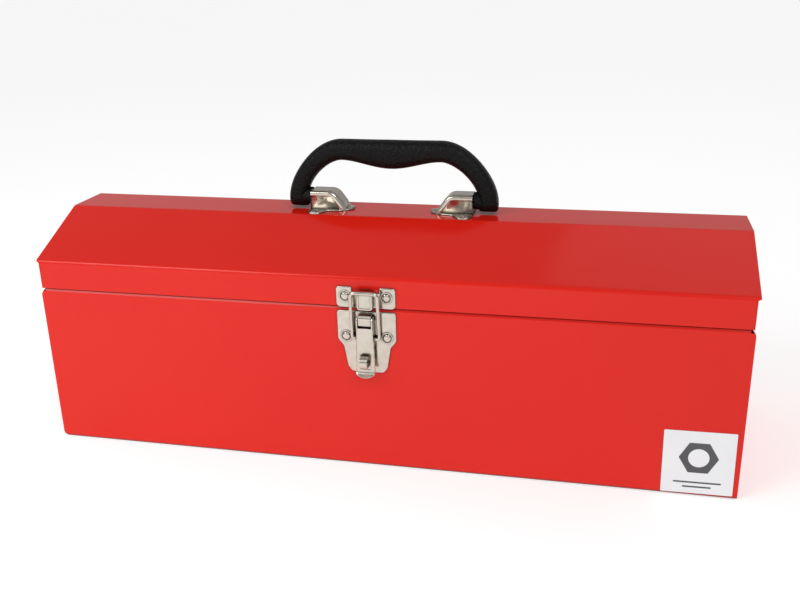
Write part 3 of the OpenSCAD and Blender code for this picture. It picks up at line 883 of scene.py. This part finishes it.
@dataclass
class Bracket:
    """One pressed handle bracket: a hood with a sunk panel on each side, and a riveted foot.

    It is drawn for the right side, from the handle's middle, and mirrored for the left.
    """

    side: int
    middle_x: float = -0.9
    roof_z: float = 165.0
    inner_x: float = 33.0
    outer_x: float = 58.8
    height: float = 14.0
    half_depth: float = 8.3
    roll: float = 1.9
    seam_y: float = 4.6
    rim: float = 3.3
    panel_deep: float = 1.0
    foot_t: float = 1.2

    def place(self, x: Array, y: Array, z: Array) -> Array:
        """Puts points from the bracket's drawing onto the roof."""
        return np.stack([self.middle_x + self.side * x, y, self.roof_z + z], axis=-1)

    def hood(self, name: str) -> bpy.types.Object:
        """The hood: its side view stacked from back to front, drawn in to roll its edges over.

        A fold runs round it as a fine groove, and each side sinks to a flat panel inside a
        rim. The outline starts too long at the foot and at the outer end and is cut square
        there, so the panel runs out to both.

        Args:
            name: The piece's name.

        Returns:
            The new object.
        """
        foot, spare = -0.6, 4.0
        outline = round_loop(
            [
                [self.outer_x + spare, foot - spare], [self.outer_x + spare, self.height],
                [41.5, self.height], [35, 5], [self.inner_x - 1.4, foot - spare],
            ],
            [0, 0, 9, 3, 0],
            14,
        )
        y, side, sunk = self.seam_y, self.half_depth, self.half_depth - self.panel_deep
        groove = [(y, 0), (y + 0.15, 0.5), (y + 0.45, 0.5), (y + 0.6, 0.12)]
        rim = self.rim
        panel = [(side, rim), (side - 0.2, rim + 0.3), (sunk + 0.2, rim + 0.5), (sunk, rim + 0.8)]
        front = groove + rolled_edge(self.roll, side) + panel
        rings = stacked(outline, [(-level, inset) for level, inset in front[::-1]] + front)
        x, z = np.minimum(rings[..., 0], self.outer_x), np.maximum(rings[..., 1], foot)
        return loft(name, self.place(x, rings[..., 2], z))

    def foot(self, name: str) -> bpy.types.Object:
        """The foot: a scalloped plate with a lobe for each rivet and rolled edges.

        Args:
            name: The piece's name.

        Returns:
            The new object.
        """
        half = [[self.outer_x, 15], [57, 19.2], [50, 19.2], [46, 11.5], [37, 9.4], [30, 5.5]]
        mirrored = [[x, -y] for x, y in half[::-1]]
        outline = round_loop([*half, [28.2, 0], *mirrored], [3, 3, 3, 3, 5, 3, 3, 3, 5, 3, 3, 3, 3])
        rings = stacked(outline, [(0, 0), *rolled_edge(0.55, self.foot_t)])
        return loft(name, self.place(rings[..., 0], rings[..., 1], rings[..., 2]))

    def rivets(self, name: str) -> bpy.types.Object:
        """Two domed rivets on the lobes and a small one at the tip.

        Args:
            name: The piece's name.

        Returns:
            The new object.
        """
        dome = [
            (3.3, 0), (3.3, 0.35), (3.0, 0.6), (2.5, 0.7),
            (2.2, 0.62), (1.9, 0.85), (1.2, 1.1), (0.05, 1.2),
        ]
        places = ((55, 14.2, 1.1), (55, -14.2, 1.1), (31.4, 0, 1.1))
        stands = [self.place(*(np.array(v) for v in p)) for p in places]
        return turned(name, dome, stands, np.eye(3))

    def build(self, shop: Workshop) -> None:
        """Makes the bracket's pieces and dresses what is behind them.

        Args:
            shop: The workshop that dresses the pieces and reports them.
        """
        word = side_word(self.side)
        hood = self.hood(f"bracket_hood_{word}")
        shop.fit(hood, "lid", "nickel_sheet", Finish.NICKEL, f"handle_bracket_{word}")
        shop.fit(self.foot(f"bracket_foot_{word}"), "lid", "nickel_sheet", Finish.NICKEL)
        rivets = self.rivets(f"bracket_rivets_{word}")
        shop.fit(rivets, "lid", "nickel_rivet", Finish.NICKEL, f"handle_rivets_{word}")
        shop.keep([f"handle_backing_{word}", f"handle_pin_{word}"], Finish.ZINC)


@dataclass
class Handle:
    """The swing handle's moulded grip, with its flat top, its belly and two splayed legs."""

    middle_x: float = -0.9
    pivot_z: float = 174.0
    foot_z: float = 166.4
    top_z: float = 215.6
    foot_x: float = 68.9
    shoulder_x: float = 36.0
    leg_thick: float = 13.2
    shoulder_thick: float = 14.8
    leg_deep: float = 15.2
    grip_d: float = 20.4
    foot_corner: float = 1.5
    boss_x: float = 58.95
    boss_r: float = 6.2
    squareness: float = 0.82
    leg_steps: int = 90
    top_steps: int = 40
    sides: int = 72

    def middle_line(self) -> tuple[Array, Array, Array]:
        """The handle's middle line, foot to foot.

        Each leg is a cubic curve: four points weighted by the terms of ((1 - t) + t) cubed.
        Along the bar, the middle lies half a thickness under the flat top.

        Returns:
            The line as (x, z), its thickness, and how far its rings turn with it.
        """
        level = self.top_z - self.shoulder_thick / 2
        p = np.array([
            [-self.foot_x, self.foot_z], [-self.foot_x - 5.7, self.foot_z + 15.7],
            [15.8 - self.foot_x, level], [-self.shoulder_x, level],
        ])
        t = np.linspace(0, 1, self.leg_steps + 1)[:, None] ** 1.5
        leg = (1 - t) ** 3 * p[0] + 3 * t * (1 - t) ** 2 * p[1] + 3 * t * t * (1 - t) * p[2] + t**3 * p[3]
        grown = self.step((t[:, 0] - 0.4) / 0.5)
        low = 1 - np.clip((leg[:, 1] - self.foot_z) / self.foot_corner, 0, 1)
        leg_size = self.leg_thick + (self.shoulder_thick - self.leg_thick) * grown
        leg_size -= 2 * self.foot_corner * (1 - np.sqrt(1 - low**2))
        turn = self.step(t[:, 0] / 0.35)
        t = np.linspace(0, 1, self.top_steps + 1)[1:]
        bar_size = self.shoulder_thick + (self.grip_d - self.shoulder_thick) * self.step(t)
        bar = np.stack([-self.shoulder_x * (1 - t), self.top_z - bar_size / 2], axis=1)
        line, size = np.concatenate([leg, bar]), np.concatenate([leg_size, bar_size])
        turn = np.concatenate([turn, np.ones(len(bar))])
        line = np.concatenate([line, line[-2::-1] * [-1, 1]])
        return line, np.concatenate([size, size[-2::-1]]), np.concatenate([turn, turn[-2::-1]])

    @staticmethod
    def step(share: Array) -> Array:
        """A smooth step from 0 to 1."""
        share = np.clip(share, 0, 1)
        return share**2 * (3 - 2 * share)

    def wave(self, value: Array) -> Array:
        """A sine or a cosine, squared off by the grip's squareness."""
        return np.sign(value) * np.abs(value) ** self.squareness

    def grip(self) -> bpy.types.Object:
        """The moulding: squared rings set across the middle line.

        A ring is a * |cos| ** squareness across the line and b * |sin| ** squareness deep.
        Below the pin, b follows a half circle about it, so a foot can swing over the roof.

        Returns:
            The new object.
        """
        line, size, turn = self.middle_line()
        ahead = np.gradient(line, axis=0)
        ahead /= np.linalg.norm(ahead, axis=1, keepdims=True)
        out = np.stack([-ahead[:, 1] * turn + np.sign(line[:, 0]) * (1 - turn), ahead[:, 0] * turn], axis=1)
        out /= np.linalg.norm(out, axis=1, keepdims=True)
        slimness = (self.grip_d - size) / (self.grip_d - self.leg_thick)
        below = np.maximum(0, self.pivot_z - line[:, 1])
        foot = np.sqrt(np.maximum(0.3, (self.leg_deep / 2) ** 2 - below**2))
        deep = np.minimum(size / 2 + slimness * (self.leg_deep - self.leg_thick) / 2, foot)
        angle = np.linspace(0, 2 * np.pi, self.sides, endpoint=False)
        across = size[:, None] / 2 * self.wave(np.cos(angle))
        x, z = line[:, :1] + out[:, :1] * across + self.middle_x, line[:, 1:] + out[:, 1:] * across
        return loft("handle_moulding", np.stack([x, deep[:, None] * self.wave(np.sin(angle)), z], axis=-1))

    def boss(self, side: int) -> bpy.types.Object:
        """The round boss that stands out of a leg, against its bracket.

        Args:
            side: -1 for the left leg and 1 for the right.

        Returns:
            The new object.
        """
        profile = [(self.boss_r, 0), (self.boss_r, 7.6), (self.boss_r - 0.4, 8), (0.05, 8)]
        stand = [self.middle_x + side * (self.boss_x + 8), 0, self.pivot_z]
        axes = np.array([[0, 1, 0], [0, 0, side], [-side, 0, 0]])
        return turned(f"handle_boss_{side_word(side)}", profile, [stand], axes)

    def build(self, shop: Workshop) -> None:
        """Makes the grip and the brackets that it swings in.

        Args:
            shop: The workshop that dresses the pieces and reports them.
        """
        shop.fit(self.grip(), "handle", "black_plastic", Finish.PLASTIC, "handle_grip")
        for side in (-1, 1):
            shop.fit(self.boss(side), "handle", "black_plastic", Finish.PLASTIC)
            Bracket(side).build(shop)


# ---- Latch -------------------------------------------------------------------


@dataclass
class Latch:
    """The draw latch. It is drawn as (x from its middle, height) and distance out from the front."""

    middle_x: float = -2.2
    gap_z: float = 118.2
    front_y: float = -77.5
    sheet: float = 1.0
    edge_r: float = 0.8
    half_w: float = 20.2
    fulcrum_out: float = 4.2
    lever_out: float = 7.0
    lever_t: float = 0.9
    lever_edge: float = 0.25
    slot_half_w: float = 3.3
    channel_top_half_w: float = 5.6
    channel_foot_half_w: float = 6.3
    lip_half_w: float = 6.6
    lip_drop: float = 3.3
    lip_curl: float = 2.9
    hook_out: float = 4.7
    hook_edge_r: float = 0.8
    wire_r: float = 1.25
    wire_half_w: float = 9.2
    wire_pivot_drop: float = 20.4
    wire_out: float = 3.4
    wire_length: float = 32.9
    wire_play: float = 0.25
    staple_half_h: float = 4.3
    staple_out: float = 13.6
    staple_half_w: float = 2.6
    staple_t: float = 1.2
    staple_bend: float = 3.9
    rivet_x: float = 14.0

    @property
    def fulcrum_z(self) -> float:
        """The height of the lever's pin."""
        return self.gap_z - 7.1

    @property
    def staple_z(self) -> float:
        """The height of the padlock staple's middle."""
        return self.gap_z - 35.1

    @property
    def lever_foot(self) -> float:
        """The height of the lever's lower edge."""
        return self.gap_z - 43.3

    def place(self, x: Array, z: Array, out: Array) -> Array:
        """Puts points from the latch's drawing onto the box."""
        return np.stack([self.middle_x + x, self.front_y - out, z], axis=-1)

    def pressing(
        self, name: str, corners: Sequence, radii: Sequence[float], low: float, high: float, roll: float
    ) -> bpy.types.Object:
        """A flat pressing with rolled-over edges.

        Args:
            name: The piece's name.
            corners: Its outline as (x, height), turning left.
            radii: The radius of each corner.
            low: How far out its back face is.
            high: How far out its front face is.
            roll: The radius of its edge.

        Returns:
            The new object.
        """
        rings = stacked(round_loop(corners, radii), [(low, 0), *rolled_edge(roll, high)])
        return loft(name, self.place(rings[..., 0], rings[..., 1], rings[..., 2]))

    def base_plate(self) -> bpy.types.Object:
        """The base plate, narrowing to its foot.

        Returns:
            The new object.
        """
        g, w = self.gap_z, self.half_w
        right = [[11, g - 45.9], [13.8, g - 42], [16.2, g - 27.6], [w, g - 22.6], [w, g - 1.9]]
        left = [[-x, z] for x, z in right[::-1]]
        radii = [3.4, 4, 4, 4, 2]
        outline, radii = right + left, radii + radii[::-1]
        return self.pressing("latch_base_sheet", outline, radii, 0, self.sheet, self.edge_r)

    def barrel(self) -> bpy.types.Object:
        """The folded barrel that holds the pin: a rounded block with a fine fold line across it.

        Returns:
            The new object.
        """
        low, high, out = self.fulcrum_z - 3.9, self.fulcrum_z + 3.9, 6.4
        path = round_loop([[0.8, low], [out, low], [out, high], [0.8, high]], [0, 1.1, 1.1, 0])
        fold = self.fulcrum_z + 2.2
        path = np.concatenate([
            path[path[:, 1] < fold - 1],
            [[out, fold - 0.25], [out - 0.35, fold - 0.1], [out - 0.35, fold + 0.1], [out, fold + 0.25]],
            path[path[:, 1] > fold],
        ])
        path[0], path[-1] = [0.8, low], [0.8, high]
        x = np.array([-4.5, -4.3, 4.3, 4.5])
        rings = stacked(path, [(v, inset) for v, inset in zip(x, (0.2, 0, 0, 0.2))])
        return loft("latch_barrel", self.place(rings[..., 2], rings[..., 1], rings[..., 0]))

    def staple(self) -> bpy.types.Object:
        """The padlock staple: a strip bent out, across and back.

        Returns:
            The new object.
        """
        root, tip = self.front_y - 0.5, self.front_y - self.staple_out
        low_z, high_z = self.staple_z - self.staple_half_h, self.staple_z + self.staple_half_h
        corners = [[root, low_z], [tip, low_z], [tip, high_z], [root, high_z]]
        path = round_path(corners, [self.staple_bend, self.staple_bend])
        low = np.full(len(path), self.middle_x - self.staple_half_w)
        high = low + 2 * self.staple_half_w
        return swept_sheet("latch_staple", Axis.X, path, -self.staple_t, low, high, 3, 0.3)

    def catch(self) -> list[bpy.types.Object]:
        """The catch plate with its two ears, and the boss that stands out of it as the hook.

        Returns:
            The plate and the boss.
        """
        g, w = self.gap_z, self.half_w
        low, floor, top = g + 0.2, g + 11.1, g + 14.9
        ear = 9.2
        corners = [
            [-w, low], [w, low], [w, top], [ear, top],
            [ear, floor], [-ear, floor], [-ear, top], [-w, top],
        ]
        radii = [3, 3, 2, 1.5, 0, 0, 1.5, 2]
        plate = self.pressing("latch_catch_sheet", corners, radii, 0, self.sheet, self.edge_r)
        h, foot, head = 5.5, g - 0.3, g + 12.9
        outline = round_loop([[-h, foot], [h, foot], [h, head], [-h, head]], [2.4, 2.4, 1.8, 1.8])
        sunk = [(self.hook_out, 1.35), (4.3, 1.6), (4.3, 1.8)]
        rings = stacked(outline, [(0.7, 0), *rolled_edge(self.hook_edge_r, self.hook_out), *sunk])
        boss = loft("latch_hook_boss", self.place(rings[..., 0], rings[..., 1], rings[..., 2]))
        return [plate, boss]

    def rivets(self, name: str, height: float) -> bpy.types.Object:
        """A pair of rivets: a low dome inside a ring.

        Args:
            name: The piece's name.
            height: The height of both rivets, in mm.

        Returns:
            The new object.
        """
        ring = [(4.2, 0), (4.2, 0.4), (3.95, 0.65), (3.6, 0.7), (3.3, 0.6), (3.1, 0.15), (2.8, 0.15)]
        dome = ring + [(2.65, 0.6), (2.2, 0.95), (1.4, 1.15), (0.05, 1.2)]
        pair = (-self.rivet_x, self.rivet_x)
        stands = [self.place(np.array(x), np.array(height), np.array(0.9)) for x in pair]
        return turned(name, dome, stands, np.array([[1, 0, 0], [0, 0, 1], [0, -1, 0]]))

    def lever_channel(self) -> bpy.types.Object:
        """The lever's channel, which widens downwards, with a slot for the staple.

        Its profile is half a width across and 2.2 mm deep at the sides; the half width goes
        in a straight line from 5.6 mm at the top to 6.3 mm at the foot.

        Returns:
            The new object.
        """
        top, foot = self.gap_z - 11.9, self.lever_foot
        s = np.concatenate([[-1, -1], np.linspace(-0.93, 0.93, 25), [1, 1]])
        out = np.concatenate([[4.8, 6.5], np.full(25, self.lever_out), [6.5, 4.8]])
        z = np.linspace(foot, top, 64)[:, None]
        foot_half, top_half = self.channel_foot_half_w, self.channel_top_half_w
        half = foot_half + (top_half - foot_half) * (z - foot) / (top - foot)
        x = s * half
        grid = self.place(x, np.broadcast_to(z, x.shape), np.broadcast_to(out, x.shape))
        middle_x, middle_z = (x[:-1, :-1] + x[1:, 1:]) / 2, (z[:-1] + z[1:]) / 2
        beside_staple = np.abs(middle_x) < self.slot_half_w
        slot = beside_staple & (middle_z > self.staple_z - 6) & (middle_z < self.staple_z + 4.9)
        return self.thickened("latch_lever_channel", grid, grid_faces(*x.shape)[~slot].tolist())

    def thickened(self, name: str, grid: Array, faces: list[list[int]]) -> bpy.types.Object:
        """A sheet with its front on the grid and the lever's thickness behind it.

        Args:
            name: The piece's name.
            grid: The front's points, in mm.
            faces: The faces, as lists of point numbers.

        Returns:
            The new object.
        """
        piece = make_object(name, grid, faces)
        outward = sum(face.normal.y * face.area for face in piece.data.polygons) < 0
        if not outward:
            piece.data.flip_normals()
        wall = piece.modifiers.new("wall", "SOLIDIFY")
        wall.thickness = self.lever_t * MM
        wall.offset = -1
        round_edges(piece, self.lever_edge)
        return piece

    def thumb_lip(self) -> bpy.types.Object:
        """The lever's thumb lip: half an ellipse that curls out as it goes down.

        Returns:
            The new object.
        """
        v = np.linspace(0, 1, 14)[:, None]
        s = np.linspace(-1, 1, 25)
        z = self.lever_foot + 0.5 - self.lip_drop * v
        x = s * self.lip_half_w * np.sqrt(1 - (0.985 * v) ** 2.6)
        out = self.lever_out - 0.05 + self.lip_curl * v**1.6
        grid = self.place(x, np.broadcast_to(z, x.shape), np.broadcast_to(out, x.shape))
        return self.thickened("latch_thumb_lip", grid, grid_faces(*x.shape).reshape(-1, 4).tolist())

    def cheek(self, side: int) -> bpy.types.Object:
        """One cheek of the lever: a plate from the pin down to the wire's pivot.

        Args:
            side: -1 for the left cheek and 1 for the right.

        Returns:
            The new object.
        """
        f, out = self.fulcrum_z, self.fulcrum_out
        pivot = self.gap_z - self.wire_pivot_drop
        notch = self.gap_z - 12.4
        outline = round_loop(
            [
                [1.3, pivot - 2.6], [4.8, pivot - 7], [6.2, pivot - 7], [6.2, notch],
                [out + 2.9, notch], [out + 2.9, f + 2.9], [1.3, f + 2.9],
            ],
            [1.5, 1, 0, 0, 0.5, 2.8, 2.8],
        )
        inner, outer, roll = side * 4.72, side * 5.58, side * 0.15
        rings = stacked(outline, [(inner, 0.1), (inner + roll, 0), (outer - roll, 0), (outer, 0.15)])
        points = self.place(rings[..., 2], rings[..., 1], rings[..., 0])
        return loft(f"latch_lever_cheek_{side_word(side)}", points)

    def link(self) -> bpy.types.Object:
        """The wire link: in at the pivot, up one side, over the top and down the other.

        Returns:
            The new object.
        """
        out, up, length = self.wire_out, self.gap_z - self.wire_pivot_drop, self.wire_length
        lean = math.asin((self.hook_out + self.wire_r + self.wire_play - out) / length)
        w = self.wire_half_w
        path = round_path([[-4.3, 0], [-w, 0], [-w, length], [w, length], [w, 0], [4.3, 0]], [2, 3, 3, 2], 10)
        path = fill_in(path, 1.0)
        points = self.place(path[:, 0], up + path[:, 1] * math.cos(lean), out + path[:, 1] * math.sin(lean))
        return wire("latch_wire", points, self.wire_r, np.array([0, math.cos(lean), math.sin(lean)]))

    def build(self, shop: Workshop) -> None:
        """Makes the latch's pieces on the box, the lid, the lever and the link.

        Args:
            shop: The workshop that dresses the pieces and reports them.
        """
        shop.fit(self.base_plate(), "box", "nickel_sheet", Finish.NICKEL, "latch_base_plate")
        for piece in (self.barrel(), self.staple()):
            shop.fit(piece, "box", "nickel_sheet", Finish.NICKEL)
        base_rivets = self.rivets("latch_rivets_low", self.gap_z - 20)
        shop.fit(base_rivets, "box", "nickel_rivet", Finish.NICKEL, "latch_base_rivets")
        plate, boss = self.catch()
        shop.fit(plate, "lid", "nickel_sheet", Finish.NICKEL, "latch_catch_plate")
        shop.fit(boss, "lid", "nickel_sheet", Finish.NICKEL)
        catch_rivets = self.rivets("latch_rivets_high", self.gap_z + 8.4)
        shop.fit(catch_rivets, "lid", "nickel_rivet", Finish.NICKEL, "latch_catch_rivets")
        shop.fit(self.lever_channel(), "lever", "nickel_sheet", Finish.NICKEL, "latch_lever")
        for piece in (self.thumb_lip(), self.cheek(-1), self.cheek(1)):
            shop.fit(piece, "lever", "nickel_sheet", Finish.NICKEL)
        shop.fit(self.link(), "link", "nickel_wire", Finish.WIRE, "latch_link")
        shop.keep(["latch_fulcrum_pin"], Finish.ZINC)


# ---- Label -------------------------------------------------------------------


@dataclass
class Label:
    """A square film sticker on the front, printed with a plain nut and two rules."""

    middle_x: float = 216.4
    middle_z: float = 24.8
    size: float = 45.2
    corner_r: float = 0.8
    film: float = 0.2
    tilt: float = math.radians(0.7)
    front_y: float = -77.5
    nut: float = 12.5
    hole: float = 6.6
    ink: float = 0.02

    def stand(self, outline: Array, out: float) -> Array:
        """Turns (x, z) points about the sticker's middle and stands them on the front, out mm proud.

        Args:
            outline: The points as (x, z), in mm.
            out: How far they stand out of the front.

        Returns:
            The points on the front.
        """
        c, s = math.cos(self.tilt), math.sin(self.tilt)
        x = self.middle_x + c * outline[..., 0] - s * outline[..., 1]
        z = self.middle_z + s * outline[..., 0] + c * outline[..., 1]
        return np.stack([x, np.full_like(x, self.front_y - out), z], axis=-1)

    def sheet(self) -> bpy.types.Object:
        """The film: a rounded square.

        Returns:
            The new object.
        """
        h = self.size / 2
        outline = round_loop([[-h, -h], [h, -h], [h, h], [-h, h]], [self.corner_r] * 4)
        return loft("label_film_sheet", np.stack([self.stand(outline, 0), self.stand(outline, self.film)]))

    def nut_print(self) -> bpy.types.Object:
        """The printed nut: the space between a hexagon and a circle, as a thin closed ring.

        Returns:
            The new object.
        """
        angle = np.linspace(0, 2 * np.pi, 96, endpoint=False)
        corner = np.pi / 3
        hexagon = self.nut * math.cos(corner / 2) / np.cos(angle % corner - corner / 2)
        turn = np.stack([np.cos(angle), np.sin(angle)], axis=1)
        lift = [0.0, 3.5]
        outer, inner = turn * hexagon[:, None] + lift, turn * self.hole + lift
        low, high = self.film, self.film + self.ink
        around = ((outer, low), (outer, high), (inner, high), (inner, low))
        rings = [self.stand(outline, out) for outline, out in around]
        faces = ring_faces(4, len(angle), capped=False)
        k = np.arange(len(angle))
        after = (k + 1) % len(angle)
        last = 3 * len(angle)
        faces += np.stack([last + k, last + after, after, k], axis=1).tolist()
        return make_object("label_nut_print", np.stack(rings), faces)

    def rule_print(self, name: str, height: float, half: float) -> bpy.types.Object:
        """A printed rule: a thin bar with round ends.

        Args:
            name: The piece's name.
            height: Its height from the sticker's middle.
            half: Half of its length.

        Returns:
            The new object.
        """
        corners = [[-half, -0.6], [half, -0.6], [half, 0.6], [-half, 0.6]]
        outline = round_loop(corners, [0.55] * 4) + [0, height]
        levels = (self.film, self.film + self.ink)
        return loft(name, np.stack([self.stand(outline, out) for out in levels]))

    def build(self, shop: Workshop) -> None:
        """Makes the film and its print.

        Args:
            shop: The workshop that dresses the pieces and reports them.
        """
        shop.fit(self.sheet(), "box", "label_film", Finish.FILM, "label_sticker")
        printed = [
            self.nut_print(),
            self.rule_print("label_rule_long", -14.5, 15),
            self.rule_print("label_rule_short", -17.8, 9),
        ]
        for piece in printed:
            shop.fit(piece, "box", "label_film", Finish.PRINT)


# ---- Tray --------------------------------------------------------------------


@dataclass
class Tray:
    """The lift-out tray and its bail."""

    half_l: float = 235.0
    floor_half_w: float = 69.3
    lean: float = 1.0
    floor_z: float = 72.0
    height: float = 41.0
    sheet: float = 0.6
    rim_w: float = 2.0
    rim_drop: float = 3.0
    bend: float = 1.8
    fit_gap: float = 0.1

    def end(self, side: int) -> bpy.types.Object:
        """An end sheet: rim, wall and a foot turned in over the floor.

        Its half width at a height is the floor's, plus the lean of the side walls times
        the share of the height, less their thickness, and less a bend at the foot.

        Args:
            side: -1 for the left end and 1 for the right.

        Returns:
            The new object.
        """
        top, base = self.floor_z + self.height, self.floor_z + self.sheet
        rim_x = self.half_l + self.rim_w
        corners = [
            [rim_x, top - self.rim_drop], [rim_x, top], [self.half_l, top], [self.half_l, base],
            [self.half_l - 10, base],
        ]
        path = fill_in(round_path(corners, [0.8, 0.8, 1]), 2) * [side, 1]
        share = np.clip((path[:, 1] - self.floor_z) / self.height, 0, 1)
        low = np.clip(1 - (path[:, 1] - base) / self.bend, 0, 1)
        reach = self.floor_half_w + self.lean * share - self.sheet - self.fit_gap - self.bend * low
        name = f"tray_end_sheet_{side_word(side)}"
        return swept_sheet(name, Axis.Y, path, -side * self.sheet, -reach, reach, 12)

    def build(self, shop: Workshop) -> None:
        """Makes the tray's ends and dresses the rest of it.

        Args:
            shop: The workshop that dresses the pieces and reports them.
        """
        shop.fit(self.end(-1), "tray", "red_paint", Finish.ENAMEL, "tray_end_left")
        shop.fit(self.end(1), "tray", "red_paint", Finish.ENAMEL, "tray_end_right")
        shop.keep(["tray_pan", "tray_divider_left", "tray_divider_right"], Finish.ENAMEL)
        shop.keep(["tray_bail"], Finish.WIRE)
        shop.keep(["tray_bail_grip"], Finish.PLASTIC)


# ---- Studio ------------------------------------------------------------------


@dataclass
class Camera:
    """The camera: its place in mm, its turn in radians and its lens in mm."""

    place: tuple[float, float, float] = (149.393, -633.754, 335.363)
    yaw: float = -0.227
    pitch: float = 0.3524
    roll: float = -0.0224
    sensor: float = 36.0
    focal_share: float = 1.16343

    def build(self) -> None:
        """Stands the camera: it looks along yaw and pitch, then rolls about that line."""
        ahead = Vector((
            math.sin(self.yaw) * math.cos(self.pitch),
            math.cos(self.yaw) * math.cos(self.pitch),
            -math.sin(self.pitch),
        ))
        right = Vector((math.cos(self.yaw), -math.sin(self.yaw), 0))
        up = right.cross(ahead)
        c, s = math.cos(self.roll), math.sin(self.roll)
        axes = Matrix((c * right + s * up, c * up - s * right, -ahead)).transposed()
        data = bpy.data.cameras.new("camera")
        data.sensor_width = self.sensor
        data.lens = self.sensor * self.focal_share
        data.clip_start, data.clip_end = 0.01, 50
        camera = bpy.data.objects.new("camera", data)
        camera.matrix_world = Matrix.Translation(Vector(self.place) * MM) @ axes.to_4x4()
        bpy.context.scene.collection.objects.link(camera)
        bpy.context.scene.camera = camera


@dataclass(frozen=True)
class Softbox:
    """A square area light: its place and aim in metres, its size in metres and its power in watts."""

    name: str
    place: tuple[float, float, float]
    aim: tuple[float, float, float]
    size: float
    power: float

    def build(self) -> None:
        """Hangs the light."""
        data = bpy.data.lights.new(self.name, "AREA")
        data.shape = "SQUARE"
        data.size = self.size
        data.energy = self.power
        lamp = bpy.data.objects.new(self.name, data)
        lamp.location = self.place
        towards = Vector(self.aim) - Vector(self.place)
        lamp.rotation_euler = towards.to_track_quat("-Z", "Y").to_euler()
        bpy.context.scene.collection.objects.link(lamp)


@dataclass
class Studio:
    """A plain pale floor under soft light: a broad fill and two softboxes, front left and behind."""

    floor_half: float = 14000.0
    floor_colour: Colour = (0.90, 0.90, 0.90)
    floor_glow: float = 0.38
    sky: float = 0.42
    backdrop: float = 1.0
    fill_power: float = 0.95
    fill_spread: float = math.radians(28)
    fill_turn: float = math.radians(32)
    fill_rise: float = math.radians(41)
    lights: tuple[Softbox, ...] = (
        Softbox("front_left", (-0.6, -0.75, 0.75), (-0.05, -0.08, 0.09), 0.55, 4.2),
        Softbox("glint", (0.4, 0.7, 1.5), (0.1, 0, 0.1), 0.6, 0.6),
    )

    def floor(self) -> None:
        """Lays the floor."""
        h = self.floor_half
        corners = np.array([[-h, -h, 0], [h, -h, 0], [h, h, 0], [-h, h, 0]], float)
        floor = make_object("floor", corners, [[0, 1, 2, 3]])
        tree = NodeTree("pale_floor")
        tree.join(
            tree.blend(tree.noise(2), self.floor_colour, tuple(0.97 * c for c in self.floor_colour)),
            tree.surface.inputs["Base Color"],
        )
        tree.set(Roughness=0.9, Emission_Color=(1, 1, 1, 1), Emission_Strength=self.floor_glow)
        floor.data.materials.append(tree.material)

    def fill(self) -> None:
        """Sets the fill light, which is even all over the floor and has soft shadows."""
        data = bpy.data.lights.new("fill", "SUN")
        data.energy = self.fill_power
        data.angle = self.fill_spread
        lamp = bpy.data.objects.new("fill", data)
        lamp.rotation_euler = (math.pi / 2 - self.fill_rise, 0, self.fill_turn)
        bpy.context.scene.collection.objects.link(lamp)

    def world(self) -> None:
        """Sets the even light from all round, behind a backdrop as pale as the floor."""
        world = bpy.data.worlds.new("studio")
        world.use_nodes = True
        nodes = world.node_tree.nodes
        seen = nodes.new("ShaderNodeLightPath")
        strength = nodes.new("ShaderNodeMapRange")
        strength.inputs["To Min"].default_value = self.sky
        strength.inputs["To Max"].default_value = self.backdrop
        world.node_tree.links.new(seen.outputs["Is Camera Ray"], strength.inputs["Value"])
        world.node_tree.links.new(strength.outputs["Result"], nodes["Background"].inputs["Strength"])
        nodes["Background"].inputs["Color"].default_value = (1, 1, 1, 1)
        bpy.context.scene.world = world

    def build(self) -> None:
        """Lays the floor, sets the world and hangs the lights."""
        self.floor()
        self.world()
        self.fill()
        for light in self.lights:
            light.build()
        bpy.context.scene.view_settings.view_transform = "Standard"


def write_sizes() -> None:
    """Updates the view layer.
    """
    bpy.context.view_layer.update()


def main() -> None:
    """Builds the toolbox and its studio."""
    logging.basicConfig(level=logging.INFO, format="%(name)s: %(message)s")
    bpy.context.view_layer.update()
    shop = Workshop()
    shell = Shell()
    for part in (Body(shell), Lid(shell), RearHinge(), Handle(), Latch(), Label(), Tray()):
        part.build(shop)
    Studio().build()
    Camera().build()
    write_sizes()


if __name__ == "__main__":
    main()
